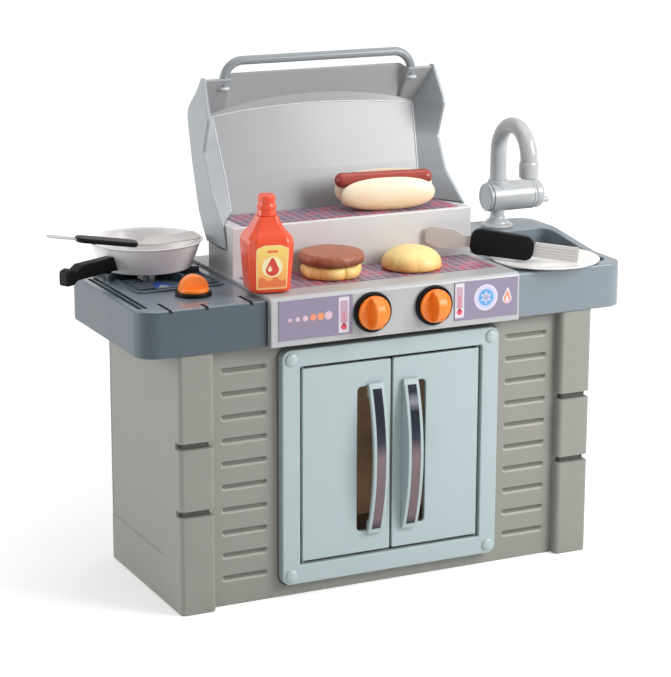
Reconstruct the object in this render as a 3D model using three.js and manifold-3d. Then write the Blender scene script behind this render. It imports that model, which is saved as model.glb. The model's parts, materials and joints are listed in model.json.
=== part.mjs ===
// Toy barbecue grill: a moulded cabinet with two doors, a burner tray, a sink tray with a faucet,
// a stepped grill console under a hinged lid, and the loose play pieces that stand on it.
// Lengths are millimetres. X runs to the viewer's right, Y from the front to the back, Z up.
// The origin is the middle of the cabinet's footprint on the floor.
// Places along Y are written as distances behind the front of the cabinet's pillars.

import * as THREE from 'three';
import { mergeVertices } from 'three/addons/utils/BufferGeometryUtils.js';
import Module from 'manifold-3d';

const wasm = await Module();
wasm.setup();

// Sizes shared by many pieces
const gap = 0.3;              // air between two pieces that touch
const pinPlay = 0.4;          // air around a pin or stem that turns
const overrun = 8;            // how far a cut runs past the wall it opens
const wall = 4;               // moulded wall of the trays, the console and the back
const degree = Math.PI / 180;
const fine = 40;              // sides of the largest round pieces
const medium = 24;            // sides of the knobs, tubes and bolts
const coarse = 12;            // sides of pins, stems and their holes
const roundSides = 32;        // sides of the buns and the patty
const boltSides = 16;
const cornerSteps = 4;        // steps of a rounded corner
const fewSteps = 2;           // steps of a small round end
const arcSteps = 12;          // steps of the handles' long arcs
const domeSteps = 9;          // rings of a domed top

// Cabinet
const cabinetWidth = 758;
const cabinetDepth = 330;
const cabinetHeight = 433;
const cabinetFrontRadius = 8;
const cabinetRearRadius = 20;
const sideWall = 6;
const pillarWidth = 61;
const pillarWall = 12;
const grooveHeight = 9;
const grooveDepth = 8;
const lowerGrooveHeight = 170;
const upperGrooveHeight = 283;
const panelRecess = 18;       // front panel's face behind the pillars' faces
const panelWall = 6;
const floorWall = 6;
const sideFieldLow = 80;
const sideFieldTop = 59;        // field's edge below the cabinet's top
const sideFieldFront = 80;
const sideFieldDepth = 3;
const louvreCount = 10;
const louvreLength = 80;
const louvreHeight = 10;
const louvreDepth = 3;
const lowestLouvre = 46;
const highestLouvre = 37.8;   // below the cabinet's top
const louvreInset = 21;       // from the door frame's edge to the louvres

// Door frame and doors
const frameWidth = 398;
const frameLow = 22.7;
const frameTopMargin = 12;    // frame's top edge below the cabinet's top
const frameRadius = 15;
const frameSetback = 3;       // frame's face behind the pillars' faces
const frameSideBorder = 32;
const frameLowBorder = 32.3;
const frameHighBorder = 29.4;
const doorwayMargin = 4;      // the panel's opening is this much wider than the frame's on each side
const boltHeadRadius = 11;
const boltHeadHeight = 5;
const boltShankRadius = 3;
const boltInset = 15.5;
const boltReach = 6;
const doorPlay = 2;
const doorMiddleGap = 2.4;
const doorWall = 8;
const doorSetback = 3;        // door's face behind the frame's face
const doorPinRadius = 2;
const doorPinLength = 16;
const slotInner = 20;
const slotOuter = 63;
const slotLowMargin = 40;     // from the door's lower edge
const slotHighMargin = 44.6;  // from the door's upper edge
const slotRadius = 6;
const handleInner = 17;
const handleWidth = 30;
const handleEndMargin = 5;    // handle reaches past the slot's ends by this
const handleLift = 6;         // height of the handle's ends off the door
const handleBow = 22;
const handleBar = 7;
const handleWeb = 3;
const stripWidth = 11;
const stripThickness = 1;
const stripSink = 0.6;
const stripSpanShare = 0.93;

// Grill console
const consoleWidth = 452;
const consoleOverhang = 14;   // console's face in front of the pillars' faces
const consoleEdgeRadius = 8;
const deckRise = 81;          // grill deck above the cabinet
const riserFront = 148;
const riserBack = 250;
const riserInset = 4;         // riser's sides in from the console's sides
const riserRise = 83;         // shelf above the grill deck
const labelThickness = 0.8;
const deckLabelInset = 14;    // from the console's sides
const deckLabelFront = 38;
const deckLabelMargin = 4;    // between the grill labels and the walls behind them
const shelfLabelInset = 22;   // from the riser's sides
const shelfLabelEdge = 6;
const controlLabelLow = 10;
const controlLabelHeight = 65;
const leftLabelWidth = 130;
const leftLabelInset = 13;    // from the console's left side
const rightLabelWidth = 119;
const rightLabelInset = 4;    // from the console's right side

// Knobs
const bezelRadius = 33.5;
const bezelThickness = 6;
const knobRadius = 28;
const knobBase = 6;
const knobGripThickness = 18;
const knobGripSpanShare = 0.96;
const knobStemRadius = 5;
const knobStemLength = 12;
const leftKnobPlace = -48;
const rightKnobPlace = 64;
const knobRise = 42;          // console knobs above the cabinet

// Trays
const trayWidth = 215.5;
const trayRise = 76;
const trayOverhang = 3;
const trayTopWall = 8;
const trayCornerRadius = 35;
const trayInnerRadius = 4;
const trayBackOverhang = 3;
const reliefDepth = 3;
const channelWidth = 12;
const channelInset = 10;
const channelFront = 30;
const channelBack = 262;
const notchWidth = 5;
const notchLengthShares = [0.161, 0.071, 0.149];   // of the tray's depth
const notchPlaceShares = [0.232, 0.515, 0.868];    // of the tray's width, from its outer side
const grateFront = 124;
const grateBack = 316;
const grateOuter = 44;
const grateInner = 17;
const grateRise = 3;
const grateRadius = 12;
const grateBars = 8;
const grateBarWidth = 6;
const grateBarRise = 10.7;
const grateBarStart = 22;
const grateBarEnd = 88;
const burnerBezelRadius = 29.5;
const burnerKnobRadius = 25;
const burnerKnobInset = 124;
const burnerKnobBack = 84;
const burnerLabelWidth = 40;
const burnerLabelDepth = 26;
const burnerLabelBack = 187;

// Sink
const basinInset = 17;        // from the tray's sides to the basin
const basinFront = 25;
const basinBack = 236;
const basinDepth = 42;
const basinRadius = 24;
const sinkRise = 18;          // faucet deck above the tray's front
const sinkSlopeFront = 95;
const sinkSlopeBack = 230;

// Faucet
const faucetInset = 92;       // from the tray's outer side
const faucetBack = 280;
const flangeRadius = 28;
const flangeHeight = 6;
const stemRadius = 15;
const valveRise = 54;         // valve's axis above the faucet deck
const valveRadius = 26.6;
const valveInner = 19;        // from the faucet's axis to the valve's left end
const valveOuter = 68;
const endCapRadius = 25;
const endCapThickness = 6;
const leverCapRadius = 26;
const leverCapThickness = 18;
const leverRadius = 5;
const leverLength = 15;
const leverDrop = 12;
const spoutBossRadius = 18;
const spoutBossRise = 4;
const spoutPegRadius = 8;
const spoutPegLength = 12;
const spoutRadius = 15;
const spoutRise = 82;         // straight run above the valve's axis
const spoutBend = 53;
const spoutDrop = 2;
const nozzleRadius = 17;
const nozzleLength = 30;

// Lid, in its open place
const lidEarStep = 5;         // outside of the ears beyond the riser's sides
const lidMouthStep = 4;       // the lid is this much narrower above its ears, each side
const lidRimStep = 6;         // and narrower still at its rim
const lidDeep = 126;          // back of the lid behind the hinge
const lidHigh = 243;          // rim above the hinge
const lidShoulder = 188;      // above this the sides draw in to the rim
const hingeInset = 38;        // hinge in front of the riser's back
const hingeDrop = 12;         // hinge below the shelf
const hingePinRadius = 5;
const hingePinHeadRadius = 7;
const hingePinHead = 3;
const hingePinReach = 3;      // into the lid's ear
const lidRiserPlay = 0.6;
const lidHandleRadius = 7.5;
const lidHandleInset = 41;    // handle's legs in from the rim's ends
const lidHandleBend = 36;
const lidHandleRise = 47;
const lidHandleFootRadius = 10;
const lidHandleFoot = 4;
const lidHandleDrop = 25;     // handle's feet below the rim
const lidHandleForward = 51;  // handle in front of the lid's back

// Pan and its spatula
const panInset = 114;         // from the tray's outer side
const panBack = 266;
const panBaseRadius = 75;
const panRimRadius = 95;
const panHeight = 47;
const panWall = 2.6;
const panHandleAngle = 207;
const panHandleLength = 103;
const panHandleHeight = 22;
const panHandleWidth = 17;
const panHandleRise = 9;
const panHookDrop = 6;
// Along the handle: where its underside starts to hook, where the hook is full, and its top's end
const hookStartShare = 0.78;
const hookFullShare = 0.86;
const hookBackShare = 0.9;
const handleTopShare = 0.7;
const spatulaGripLength = 104;
const spatulaGripWidth = 34;
const spatulaGripThickness = 8;
const spatulaTip = 48;
const spatulaTipWidth = 18;
const spatulaThickness = 2.4;
const spatulaBladeLength = 100;
const spatulaBladeWidth = 56;
const spatulaBend = 14;
const spatulaTilt = 8;
const spatulaSink = 2.7;      // grip's middle below its place on a level rim
const spatulaTurn = -10;

// Plate and turner
const plateRadius = 93;
const plateFootRadius = 58;
const plateHeight = 7;
const plateWall = 2.4;
const platePlace = 122;       // from the sink tray's outer side
const plateBack = 62;
const turnerGripLength = 108.4;
const turnerHeadLength = 76;
const turnerHeadHeight = 36;
const turnerNeckHeight = 20;
const turnerBarLength = 76;
const turnerBarHeight = 26;
const turnerThickness = 4;
// Lower and upper edge of the head: [share of its length, share of half its height]
const headLowShares = [[0, -0.6], [0.25, -1], [0.65, -1]];
const headHighShares = [[0.65, 1], [0.1, 1], [0, 0.7]];
const neckStartShare = 0.85;
const turnerGripHeight = 41;
const turnerGripThickness = 16;
const turnerGripRadius = 19;
const turnerTilt = 6.6;
const turnerTurn = -28.8;
const turnerHeadMargin = 7.1; // between the head's end and the riser
const turnerForward = 22.5;   // the turner passes this far in front of the plate's middle

// Sauce bottle
const bottlePlace = -206;
const bottleBack = 47;
const bottleTurn = -10;
const bottleHalf = 38;
const bottleBodyHeight = 80;
const bottleNeckRadius = 21;
const bottleNeckHeight = 121;
const bottleCapRadius = 15.5;
const bottleCapHeight = 34;
const bottleFootInset = 4;
const bottleFlatShare = 0.62; // half of the front face, of half the bottle's width
// Shoulder rings: [share of the taper, share of the rise]
const shoulderShares = [[0.12, 0.12], [0.75, 0.6]];
// Rings of the cap: [share of its radius, share of its height]
const capShares = [[1, 0.5], [1, 0.9], [0.8, 1]];
const bottleLabelWidth = 46;
const bottleLabelHeight = 68;
const bottleLabelLow = 9;

// Food
const burgerPlace = -70;
const burgerBack = 92;
const bottomBunRadius = 51;
const bottomBunHeight = 22;
const pattyRadius = 54;
const pattyHeight = 20;
const bunSquareShare = 0.8;   // lower values make a squarer side
const pattySquareShare = 0.7;
const topBunPlace = 78;
const topBunBack = 90;
const topBunRadius = 51;
const topBunHeight = 38;
const topBunEdge = 6;         // height and width of the rounded lower edge
const hotDogPlace = 82;
const hotDogForward = 9;      // in front of the shelf's middle
const hotDogTurn = -9;
const hotDogLength = 190;
const hotDogWidth = 62;
const hotDogHeight = 70;
const hotDogFlat = 2;
const sausageRadius = 13;
const sausageLength = 172;
const sausageLeft = 8;
const sausageForward = 4;
const sausageRise = 52;

// Places worked out from the sizes
const halfCabinet = cabinetWidth / 2;
const pillarInner = halfCabinet - pillarWidth;
const panelBack = panelRecess + panelWall;
const frameHalf = frameWidth / 2;
const frameFace = frameSetback;
const frameHigh = cabinetHeight - frameTopMargin;
const doorwayHalf = frameHalf - frameSideBorder;
const doorwayLow = frameLow + frameLowBorder;
const doorwayHigh = frameHigh - frameHighBorder;
const doorFace = frameFace + doorSetback;
const hingeEdge = doorwayHalf - doorPlay - doorWall / 2;
const doorMiddle = doorFace + doorWall / 2;
const doorLow = doorwayLow + doorPlay;
const doorHigh = doorwayHigh - doorPlay;
const slotLow = doorLow + slotLowMargin;
const slotHigh = doorHigh - slotHighMargin;
const topSeat = cabinetHeight + gap;
const halfConsole = consoleWidth / 2;
const halfRiser = halfConsole - riserInset;
const deckTop = cabinetHeight + deckRise;
const shelfTop = deckTop + riserRise;
const deckLabelTop = deckTop + gap + labelThickness;
const shelfLabelTop = shelfTop + gap + labelThickness;
const trayTop = cabinetHeight + trayRise;
const trayInner = halfConsole + gap;
const trayOuter = trayInner + trayWidth;
const trayBack = cabinetDepth + trayBackOverhang;
const grateTop = trayTop + grateRise;
const barTop = trayTop + grateBarRise;
const faucetDeck = trayTop + sinkRise;
const valveAxis = faucetDeck + valveRise;
const faucetPlace = trayOuter - faucetInset;
const trayDepth = trayOverhang + trayBack;
const turnerLength = turnerHeadLength + gap + turnerGripLength + gap + turnerBarLength;
const turnerAside = turnerForward * Math.cos(turnerTurn * degree);
const turnerBehind = riserFront - turnerHeadMargin - plateBack + turnerAside;
const turnerHeadReach = turnerBehind / Math.sin(-turnerTurn * degree);
const hingeBack = riserBack - hingeInset;
const hingeHeight = shelfTop - hingeDrop;
const halfLid = halfRiser + lidEarStep;
const halfMouth = halfLid - lidMouthStep;
const halfRim = halfMouth - lidRimStep;
const lidHandleHalf = halfRim - lidHandleInset;
const halfCrown = lidHandleHalf - lidHandleFootRadius;

// Solids from three.js geometries

function solid(geometry) {
  const bare = geometry.index ? geometry.toNonIndexed() : geometry.clone();
  bare.deleteAttribute('normal');
  bare.deleteAttribute('uv');
  const merged = mergeVertices(bare, 1e-4);
  const triVerts = new Uint32Array(merged.index.array);
  const vertProperties = new Float32Array(merged.attributes.position.array);
  const make = () => new wasm.Manifold(new wasm.Mesh({ numProp: 3, vertProperties, triVerts }));
  const made = make();
  if (made.volume() >= 0) return made;
  for (let i = 0; i < triVerts.length; i += 3) {
    [triVerts[i + 1], triVerts[i + 2]] = [triVerts[i + 2], triVerts[i + 1]];
  }
  return make();
}

function geometryOf(body) {
  const mesh = body.getMesh();
  const geometry = new THREE.BufferGeometry();
  geometry.setAttribute('position', new THREE.BufferAttribute(new Float32Array(mesh.vertProperties), 3));
  geometry.setIndex(new THREE.BufferAttribute(new Uint32Array(mesh.triVerts), 1));
  const flat = geometry.toNonIndexed();
  flat.computeVertexNormals();
  return flat;
}

function joined(first, ...others) {
  return others.reduce((body, other) => body.add(other), first);
}

function cut(body, ...tools) {
  return tools.reduce((left, tool) => left.subtract(tool), body);
}

function box(x0, x1, y0, y1, z0, z1) {
  const geometry = new THREE.BoxGeometry(x1 - x0, y1 - y0, z1 - z0);
  return solid(geometry.translate((x0 + x1) / 2, (y0 + y1) / 2, (z0 + z1) / 2));
}

// A closed outline, with [x, y] points or [x, y, radius] points where a corner is round.
function outline(points) {
  const shape = new THREE.Shape();
  points.forEach(([x, y, radius = 0], i) => {
    const before = points[(i + points.length - 1) % points.length];
    const after = points[(i + 1) % points.length];
    const corner = new THREE.Vector2(x, y);
    const enter = new THREE.Vector2(before[0], before[1]).sub(corner).normalize();
    const leave = new THREE.Vector2(after[0], after[1]).sub(corner).normalize();
    const half = Math.acos(THREE.MathUtils.clamp(enter.dot(leave), -1, 1)) / 2;
    const reach = radius / Math.tan(half);
    const start = corner.clone().addScaledVector(enter, reach);
    if (i === 0) shape.moveTo(start.x, start.y);
    else shape.lineTo(start.x, start.y);
    if (radius === 0) return;
    const end = corner.clone().addScaledVector(leave, reach);
    shape.quadraticCurveTo(corner.x, corner.y, end.x, end.y);
  });
  shape.closePath();
  return shape;
}

function rectangle(x0, x1, y0, y1, radius = 0) {
  return outline([[x0, y0, radius], [x1, y0, radius], [x1, y1, radius], [x0, y1, radius]]);
}

function extruded(shape, depth, curveSegments = cornerSteps) {
  return new THREE.ExtrudeGeometry(shape, { depth, bevelEnabled: false, curveSegments });
}

// An X-Y outline standing from z0 to z1.
function slab(shape, z0, z1, curveSegments) {
  return solid(extruded(shape, z1 - z0, curveSegments).translate(0, 0, z0));
}

// An X-Z outline running from y0 back to y1.
function facing(shape, y0, y1, curveSegments) {
  return solid(extruded(shape, y1 - y0, curveSegments).rotateX(Math.PI / 2).translate(0, y1, 0));
}

// A Y-Z outline running from x0 to x1.
function across(shape, x0, x1, curveSegments) {
  const turn = new THREE.Matrix4().makeBasis(
    new THREE.Vector3(0, 1, 0), new THREE.Vector3(0, 0, 1), new THREE.Vector3(1, 0, 0));
  return solid(extruded(shape, x1 - x0, curveSegments).applyMatrix4(turn).translate(x0, 0, 0));
}

function standing(radius, x, y, z0, z1, sides = medium) {
  const geometry = new THREE.CylinderGeometry(radius, radius, z1 - z0, sides).rotateX(Math.PI / 2);
  return solid(geometry.translate(x, y, (z0 + z1) / 2));
}

function pointing(radius, x, z, y0, y1, sides = medium) {
  const geometry = new THREE.CylinderGeometry(radius, radius, y1 - y0, sides);
  return solid(geometry.translate(x, (y0 + y1) / 2, z));
}

function lying(radius, y, z, x0, x1, sides = medium) {
  const geometry = new THREE.CylinderGeometry(radius, radius, x1 - x0, sides).rotateZ(Math.PI / 2);
  return solid(geometry.translate((x0 + x1) / 2, y, z));
}

// A profile of [radius, height] points turned round the upright axis.
function turned(profile, sides = fine) {
  const points = profile.map(([radius, height]) => new THREE.Vector2(radius, height));
  return solid(new THREE.LatheGeometry(points, sides).rotateX(Math.PI / 2));
}

// Rings of equal length joined in order, each an array of Vector3, with both ends closed.
function lofted(rings) {
  const count = rings[0].length;
  const positions = [];
  const face = (...corners) => corners.forEach((p) => positions.push(p.x, p.y, p.z));
  for (let i = 0; i + 1 < rings.length; i += 1) {
    for (let k = 0; k < count; k += 1) {
      const next = (k + 1) % count;
      face(rings[i][k], rings[i][next], rings[i + 1][next]);
      face(rings[i][k], rings[i + 1][next], rings[i + 1][k]);
    }
  }
  for (let k = 1; k + 1 < count; k += 1) {
    const first = rings[0];
    const last = rings[rings.length - 1];
    face(first[0], first[k + 1], first[k]);
    face(last[0], last[k], last[k + 1]);
  }
  const geometry = new THREE.BufferGeometry();
  geometry.setAttribute('position', new THREE.Float32BufferAttribute(positions, 3));
  return solid(geometry);
}

// A round tube along a path.
function tube(path, radius, steps, sides = 7) {
  const section = new THREE.Shape();
  section.absarc(0, 0, radius, 0, 2 * Math.PI);
  const options = { steps, curveSegments: sides, bevelEnabled: false, extrudePath: path };
  return solid(new THREE.ExtrudeGeometry(section, options));
}

// Materials
function material(color, roughness, metalness = 0) {
  return new THREE.MeshStandardMaterial({ color, roughness, metalness });
}

const stone = material(0x9a9990, 0.55);
const slate = material(0x66757f, 0.45);
const silver = material(0xb9bcbe, 0.4);
const lidSilver = material(0xb4b9bd, 0.38);
const doorBlue = material(0xb9c9cb, 0.42);
const chrome = material(0x8d8482, 0.15, 0.9);
const black = material(0x141414, 0.3);
const orange = material(0xef7a1d, 0.38);
const labelPurple = material(0x93869d, 0.5);
const coalPurple = material(0x74405f, 0.5);
const flameBlue = material(0x4468b4, 0.5);
const faucetSilver = material(0xb5b8b8, 0.35);
const panGrey = material(0xb5b2ad, 0.4);
const plateWhite = material(0xf4f3f0, 0.3);
const paleGrey = material(0xc9c5c0, 0.4);
const sauceRed = material(0xe8401f, 0.35);
const labelYellow = material(0xf3c14b, 0.5);
const bunTan = material(0xe9b45d, 0.5);
const meatBrown = material(0x7c4a36, 0.45);
const bunCream = material(0xefdcae, 0.5);
const sausageRed = material(0x9c3b2e, 0.3);

// The whole toy, shifted so that the frame's origin is under the middle of the cabinet
const toy = new THREE.Group();
const grill = new THREE.Group();
grill.position.y = -cabinetDepth / 2;
toy.add(grill);

function piece(name, body, look, parent = grill) {
  const mesh = new THREE.Mesh(geometryOf(body), look);
  mesh.name = name;
  parent.add(mesh);
  return mesh;
}

// The same solid on both sides: built for the right one, turned over for the left one.
function pair(rightName, leftName, body, look) {
  piece(rightName, body, look);
  piece(leftName, body, look).scale.x = -1;
}

function place(x, y, z, parent = grill) {
  const group = new THREE.Group();
  group.position.set(x, y, z);
  parent.add(group);
  return group;
}

// Cabinet

// The side panel wraps round its front corner as a pillar, with two grooves across it.
function sidePanel() {
  const front = cabinetFrontRadius;
  const rear = cabinetRearRadius;
  const footprint = outline([
    [pillarInner, 0, front], [halfCabinet, 0, front], [halfCabinet, cabinetDepth, rear],
    [pillarInner, cabinetDepth],
  ]);
  const insideEdge = halfCabinet - sideWall;
  const insideBack = cabinetDepth - wall;
  const inside = slab(outline([
    [pillarInner - overrun, panelBack], [insideEdge, panelBack], [insideEdge, insideBack, rear - wall],
    [pillarInner - overrun, insideBack],
  ]), -overrun, cabinetHeight + overrun);
  const pillarHollow = box(pillarInner + pillarWall, halfCabinet - pillarWall, pillarWall, panelBack + wall,
    -overrun, cabinetHeight + overrun);
  const field = box(halfCabinet - sideFieldDepth, halfCabinet + overrun, sideFieldFront,
    cabinetDepth + overrun, sideFieldLow, cabinetHeight - sideFieldTop);
  const grooves = [lowerGrooveHeight, upperGrooveHeight].map((height) => {
    const low = height - grooveHeight / 2;
    const high = height + grooveHeight / 2;
    const band = box(pillarInner - overrun, halfCabinet + overrun, -overrun, panelRecess, low, high);
    const core = box(pillarInner + grooveDepth, halfCabinet - grooveDepth, grooveDepth, panelBack, low, high);
    return band.subtract(core);
  });
  return cut(slab(footprint, 0, cabinetHeight), inside, pillarHollow, field, ...grooves);
}

function frontPanel() {
  const edge = pillarInner - gap;
  const sheet = box(-edge, edge, panelRecess, panelBack, 0, cabinetHeight);
  const opening = doorwayHalf + doorwayMargin;
  const doorway = box(-opening, opening, panelRecess - overrun, panelBack + overrun,
    doorwayLow - doorwayMargin, doorwayHigh + doorwayMargin);
  const louvres = [];
  const louvrePitch = (cabinetHeight - highestLouvre - lowestLouvre) / (louvreCount - 1);
  const start = frameHalf + louvreInset;
  for (let i = 0; i < louvreCount; i += 1) {
    const height = lowestLouvre + i * louvrePitch;
    for (const side of [-1, 1]) {
      const [x0, x1] = [side * start, side * (start + louvreLength)].sort((a, b) => a - b);
      const slot = rectangle(x0, x1, height - louvreHeight / 2, height + louvreHeight / 2, louvreHeight / 2);
      louvres.push(facing(slot, panelRecess - overrun, panelRecess + louvreDepth, fewSteps));
    }
  }
  return cut(sheet, doorway, ...louvres, ...boltHoles(panelRecess - overrun, panelBack + overrun));
}

function floorPanel() {
  const edge = halfCabinet - sideWall - gap;
  const front = panelBack + wall + gap;
  const back = cabinetDepth - wall - gap;
  const corner = cabinetRearRadius - wall;
  const footprint = outline([[-edge, front], [edge, front], [edge, back, corner], [-edge, back, corner]]);
  return slab(footprint, 0, floorWall);
}

function backPanel() {
  const edge = pillarInner - gap;
  return box(-edge, edge, cabinetDepth - wall, cabinetDepth, 0, cabinetHeight);
}

// Door frame, held on the front panel by a round-headed bolt in each corner

function boltPlaces() {
  const x = frameHalf - boltInset;
  const low = frameLow + boltInset;
  const high = frameHigh - boltInset;
  return [[-x, low], [x, low], [-x, high], [x, high]];
}

function boltHoles(y0, y1) {
  return boltPlaces().map(([x, z]) => pointing(boltShankRadius + gap, x, z, y0, y1, coarse));
}

function doorPinHoles() {
  const half = doorPinLength / 2 + gap;
  const radius = doorPinRadius + pinPlay;
  return [-hingeEdge, hingeEdge].flatMap((x) => [doorLow, doorHigh].map(
    (z) => standing(radius, x, doorMiddle, z - half, z + half, coarse)));
}

function doorFrame() {
  const back = panelRecess - gap;
  const outer = facing(rectangle(-frameHalf, frameHalf, frameLow, frameHigh, frameRadius), frameFace, back);
  const doorway = box(-doorwayHalf, doorwayHalf, frameFace - overrun, back + overrun,
    doorwayLow, doorwayHigh);
  return cut(outer, doorway, ...boltHoles(frameFace - overrun, back + overrun), ...doorPinHoles());
}

function frameBolt() {
  const head = [];
  for (let i = 0; i < cornerSteps; i += 1) {
    const turn = (i / cornerSteps) * (Math.PI / 2);
    head.push([boltHeadRadius * Math.cos(turn), gap + boltHeadHeight * Math.sin(turn)]);
  }
  head.push([0, gap + boltHeadHeight]);
  const reach = panelBack - frameFace + boltReach;
  return turned([[0, -reach], [boltShankRadius, -reach], [boltShankRadius, gap], ...head], boltSides);
}

// Doors, each turning on an upper and a lower pin in its rounded hinge edge

function door() {
  const radius = doorWall / 2;
  const section = new THREE.Shape();
  section.moveTo(doorMiddleGap / 2, doorFace);
  section.lineTo(hingeEdge, doorFace);
  section.absarc(hingeEdge, doorMiddle, radius, -Math.PI / 2, Math.PI / 2, false);
  section.lineTo(doorMiddleGap / 2, doorFace + doorWall);
  section.closePath();
  const leaf = slab(section, doorLow, doorHigh, domeSteps);
  const slot = facing(rectangle(slotInner, slotOuter, slotLow, slotHigh, slotRadius),
    doorFace - overrun, doorFace + doorWall + overrun);
  return cut(leaf, slot, ...doorPinHoles());
}

function doorPin(height) {
  const half = doorPinLength / 2;
  return standing(doorPinRadius, hingeEdge, doorMiddle, height - half, height + half, coarse);
}

// The bowed handle's face is an arc over a chord that stands off the door.
const handleFoot = doorFace - gap;
const handleChord = handleFoot - handleLift;
const handleMiddle = (slotLow + slotHigh) / 2;
const handleHalf = (slotHigh - slotLow) / 2 + handleEndMargin;
const handleArcRadius = (handleHalf ** 2 + handleBow ** 2) / (2 * handleBow);
const handleArcCentre = handleChord - handleBow + handleArcRadius;
const handleArcHalf = Math.asin(handleHalf / handleArcRadius);

function handleArc(shape, radius, from, to) {
  shape.absarc(handleArcCentre, handleMiddle, radius, Math.PI + from, Math.PI + to, to < from);
}

// The room from the door up to an arc of the given radius.
function handleRoom(radius) {
  const reach = Math.acos((handleArcCentre - handleChord) / radius);
  const half = radius * Math.sin(reach);
  const shape = new THREE.Shape();
  handleArc(shape, radius, -reach, reach);
  shape.lineTo(handleFoot, handleMiddle - half);
  shape.lineTo(handleFoot, handleMiddle + half);
  shape.closePath();
  return shape;
}

function doorHandle() {
  const outer = handleInner + handleWidth;
  const full = across(handleRoom(handleArcRadius), handleInner, outer, arcSteps);
  const inner = handleRoom(handleArcRadius - handleBar);
  const behind = across(inner, handleInner + handleWeb, outer + overrun, arcSteps);
  const floor = handleArcRadius - stripThickness + stripSink;
  return cut(full, behind, stripBand(floor - gap, handleArcRadius + overrun, gap));
}

// A band of the strip's width between two radii of the handle's arc.
function stripBand(innerRadius, outerRadius, ease = 0) {
  const middle = handleInner + handleWidth / 2;
  const half = stripWidth / 2 + ease;
  const reach = handleArcHalf * stripSpanShare + ease / handleArcRadius;
  const shape = new THREE.Shape();
  handleArc(shape, outerRadius, -reach, reach);
  handleArc(shape, innerRadius, reach, -reach);
  shape.closePath();
  return across(shape, middle - half, middle + half, arcSteps);
}

function handleStrip() {
  return stripBand(handleArcRadius - stripThickness + stripSink, handleArcRadius + stripSink);
}

// Grill console: the front box with the knobs, the deck, and the riser that carries the shelf

function grillConsole() {
  const front = -consoleOverhang;
  const deckProfile = outline([
    [front, topSeat], [front, deckTop, consoleEdgeRadius], [cabinetDepth, deckTop], [cabinetDepth, topSeat],
  ]);
  const deck = across(deckProfile, -halfConsole, halfConsole);
  const riser = box(-halfRiser, halfRiser, riserFront, riserBack, deckTop - wall, shelfTop);
  const deckHollow = box(-halfConsole + wall, halfConsole - wall, front + wall, cabinetDepth - wall,
    topSeat - overrun, deckTop - wall);
  const riserHollow = box(-halfRiser + wall, halfRiser - wall, riserFront + wall, riserBack - wall,
    deckTop - wall - overrun, shelfTop - wall);
  const stems = [leftKnobPlace, rightKnobPlace].map((x) => pointing(knobStemRadius + pinPlay, x,
    cabinetHeight + knobRise, front - overrun, front + wall + overrun, coarse));
  const hinges = lying(hingePinRadius + pinPlay, hingeBack, hingeHeight, -halfRiser - overrun,
    halfRiser + overrun, coarse);
  return cut(joined(deck, riser), deckHollow, riserHollow, ...stems, hinges);
}

function controlLabel(x0, width) {
  const front = -consoleOverhang - gap;
  const low = cabinetHeight + controlLabelLow;
  return box(x0, x0 + width, front - labelThickness, front, low, low + controlLabelHeight);
}

function deckLabel() {
  const half = halfConsole - deckLabelInset;
  return box(-half, half, deckLabelFront, riserFront - deckLabelMargin, deckTop + gap, deckLabelTop);
}

function shelfLabel() {
  const half = halfRiser - shelfLabelInset;
  return box(-half, half, riserFront + shelfLabelEdge, riserBack - shelfLabelEdge,
    shelfTop + gap, shelfLabelTop);
}

// Knobs: a black bezel and an orange knob whose grip is half a disc, both facing up in their own frame

function bezel(radius) {
  const rim = standing(radius, 0, 0, gap, bezelThickness);
  return rim.subtract(standing(knobStemRadius + pinPlay, 0, 0, -overrun, bezelThickness + overrun, coarse));
}

function knob(radius) {
  const seat = bezelThickness + gap;
  const base = standing(radius, 0, 0, seat, seat + knobBase);
  const gripRadius = radius * knobGripSpanShare;
  const halfDisc = new THREE.Shape();
  halfDisc.absarc(0, seat + knobBase / 2, gripRadius, 0, Math.PI);
  halfDisc.closePath();
  const grip = facing(halfDisc, -knobGripThickness / 2, knobGripThickness / 2, arcSteps);
  const stemEnd = seat - bezelThickness - knobStemLength;
  const stem = standing(knobStemRadius, 0, 0, stemEnd, seat + knobBase / 2, coarse);
  return joined(base, grip, stem);
}

// Trays

function trayOutline(inset = 0) {
  const corner = trayCornerRadius - inset;
  const inner = trayInner + inset;
  const outer = trayOuter - inset;
  const front = -trayOverhang + inset;
  const back = trayBack - inset;
  return outline([[inner, front, trayInnerRadius], [outer, front, corner], [outer, back, corner],
    [inner, back, trayInnerRadius]]);
}

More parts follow.
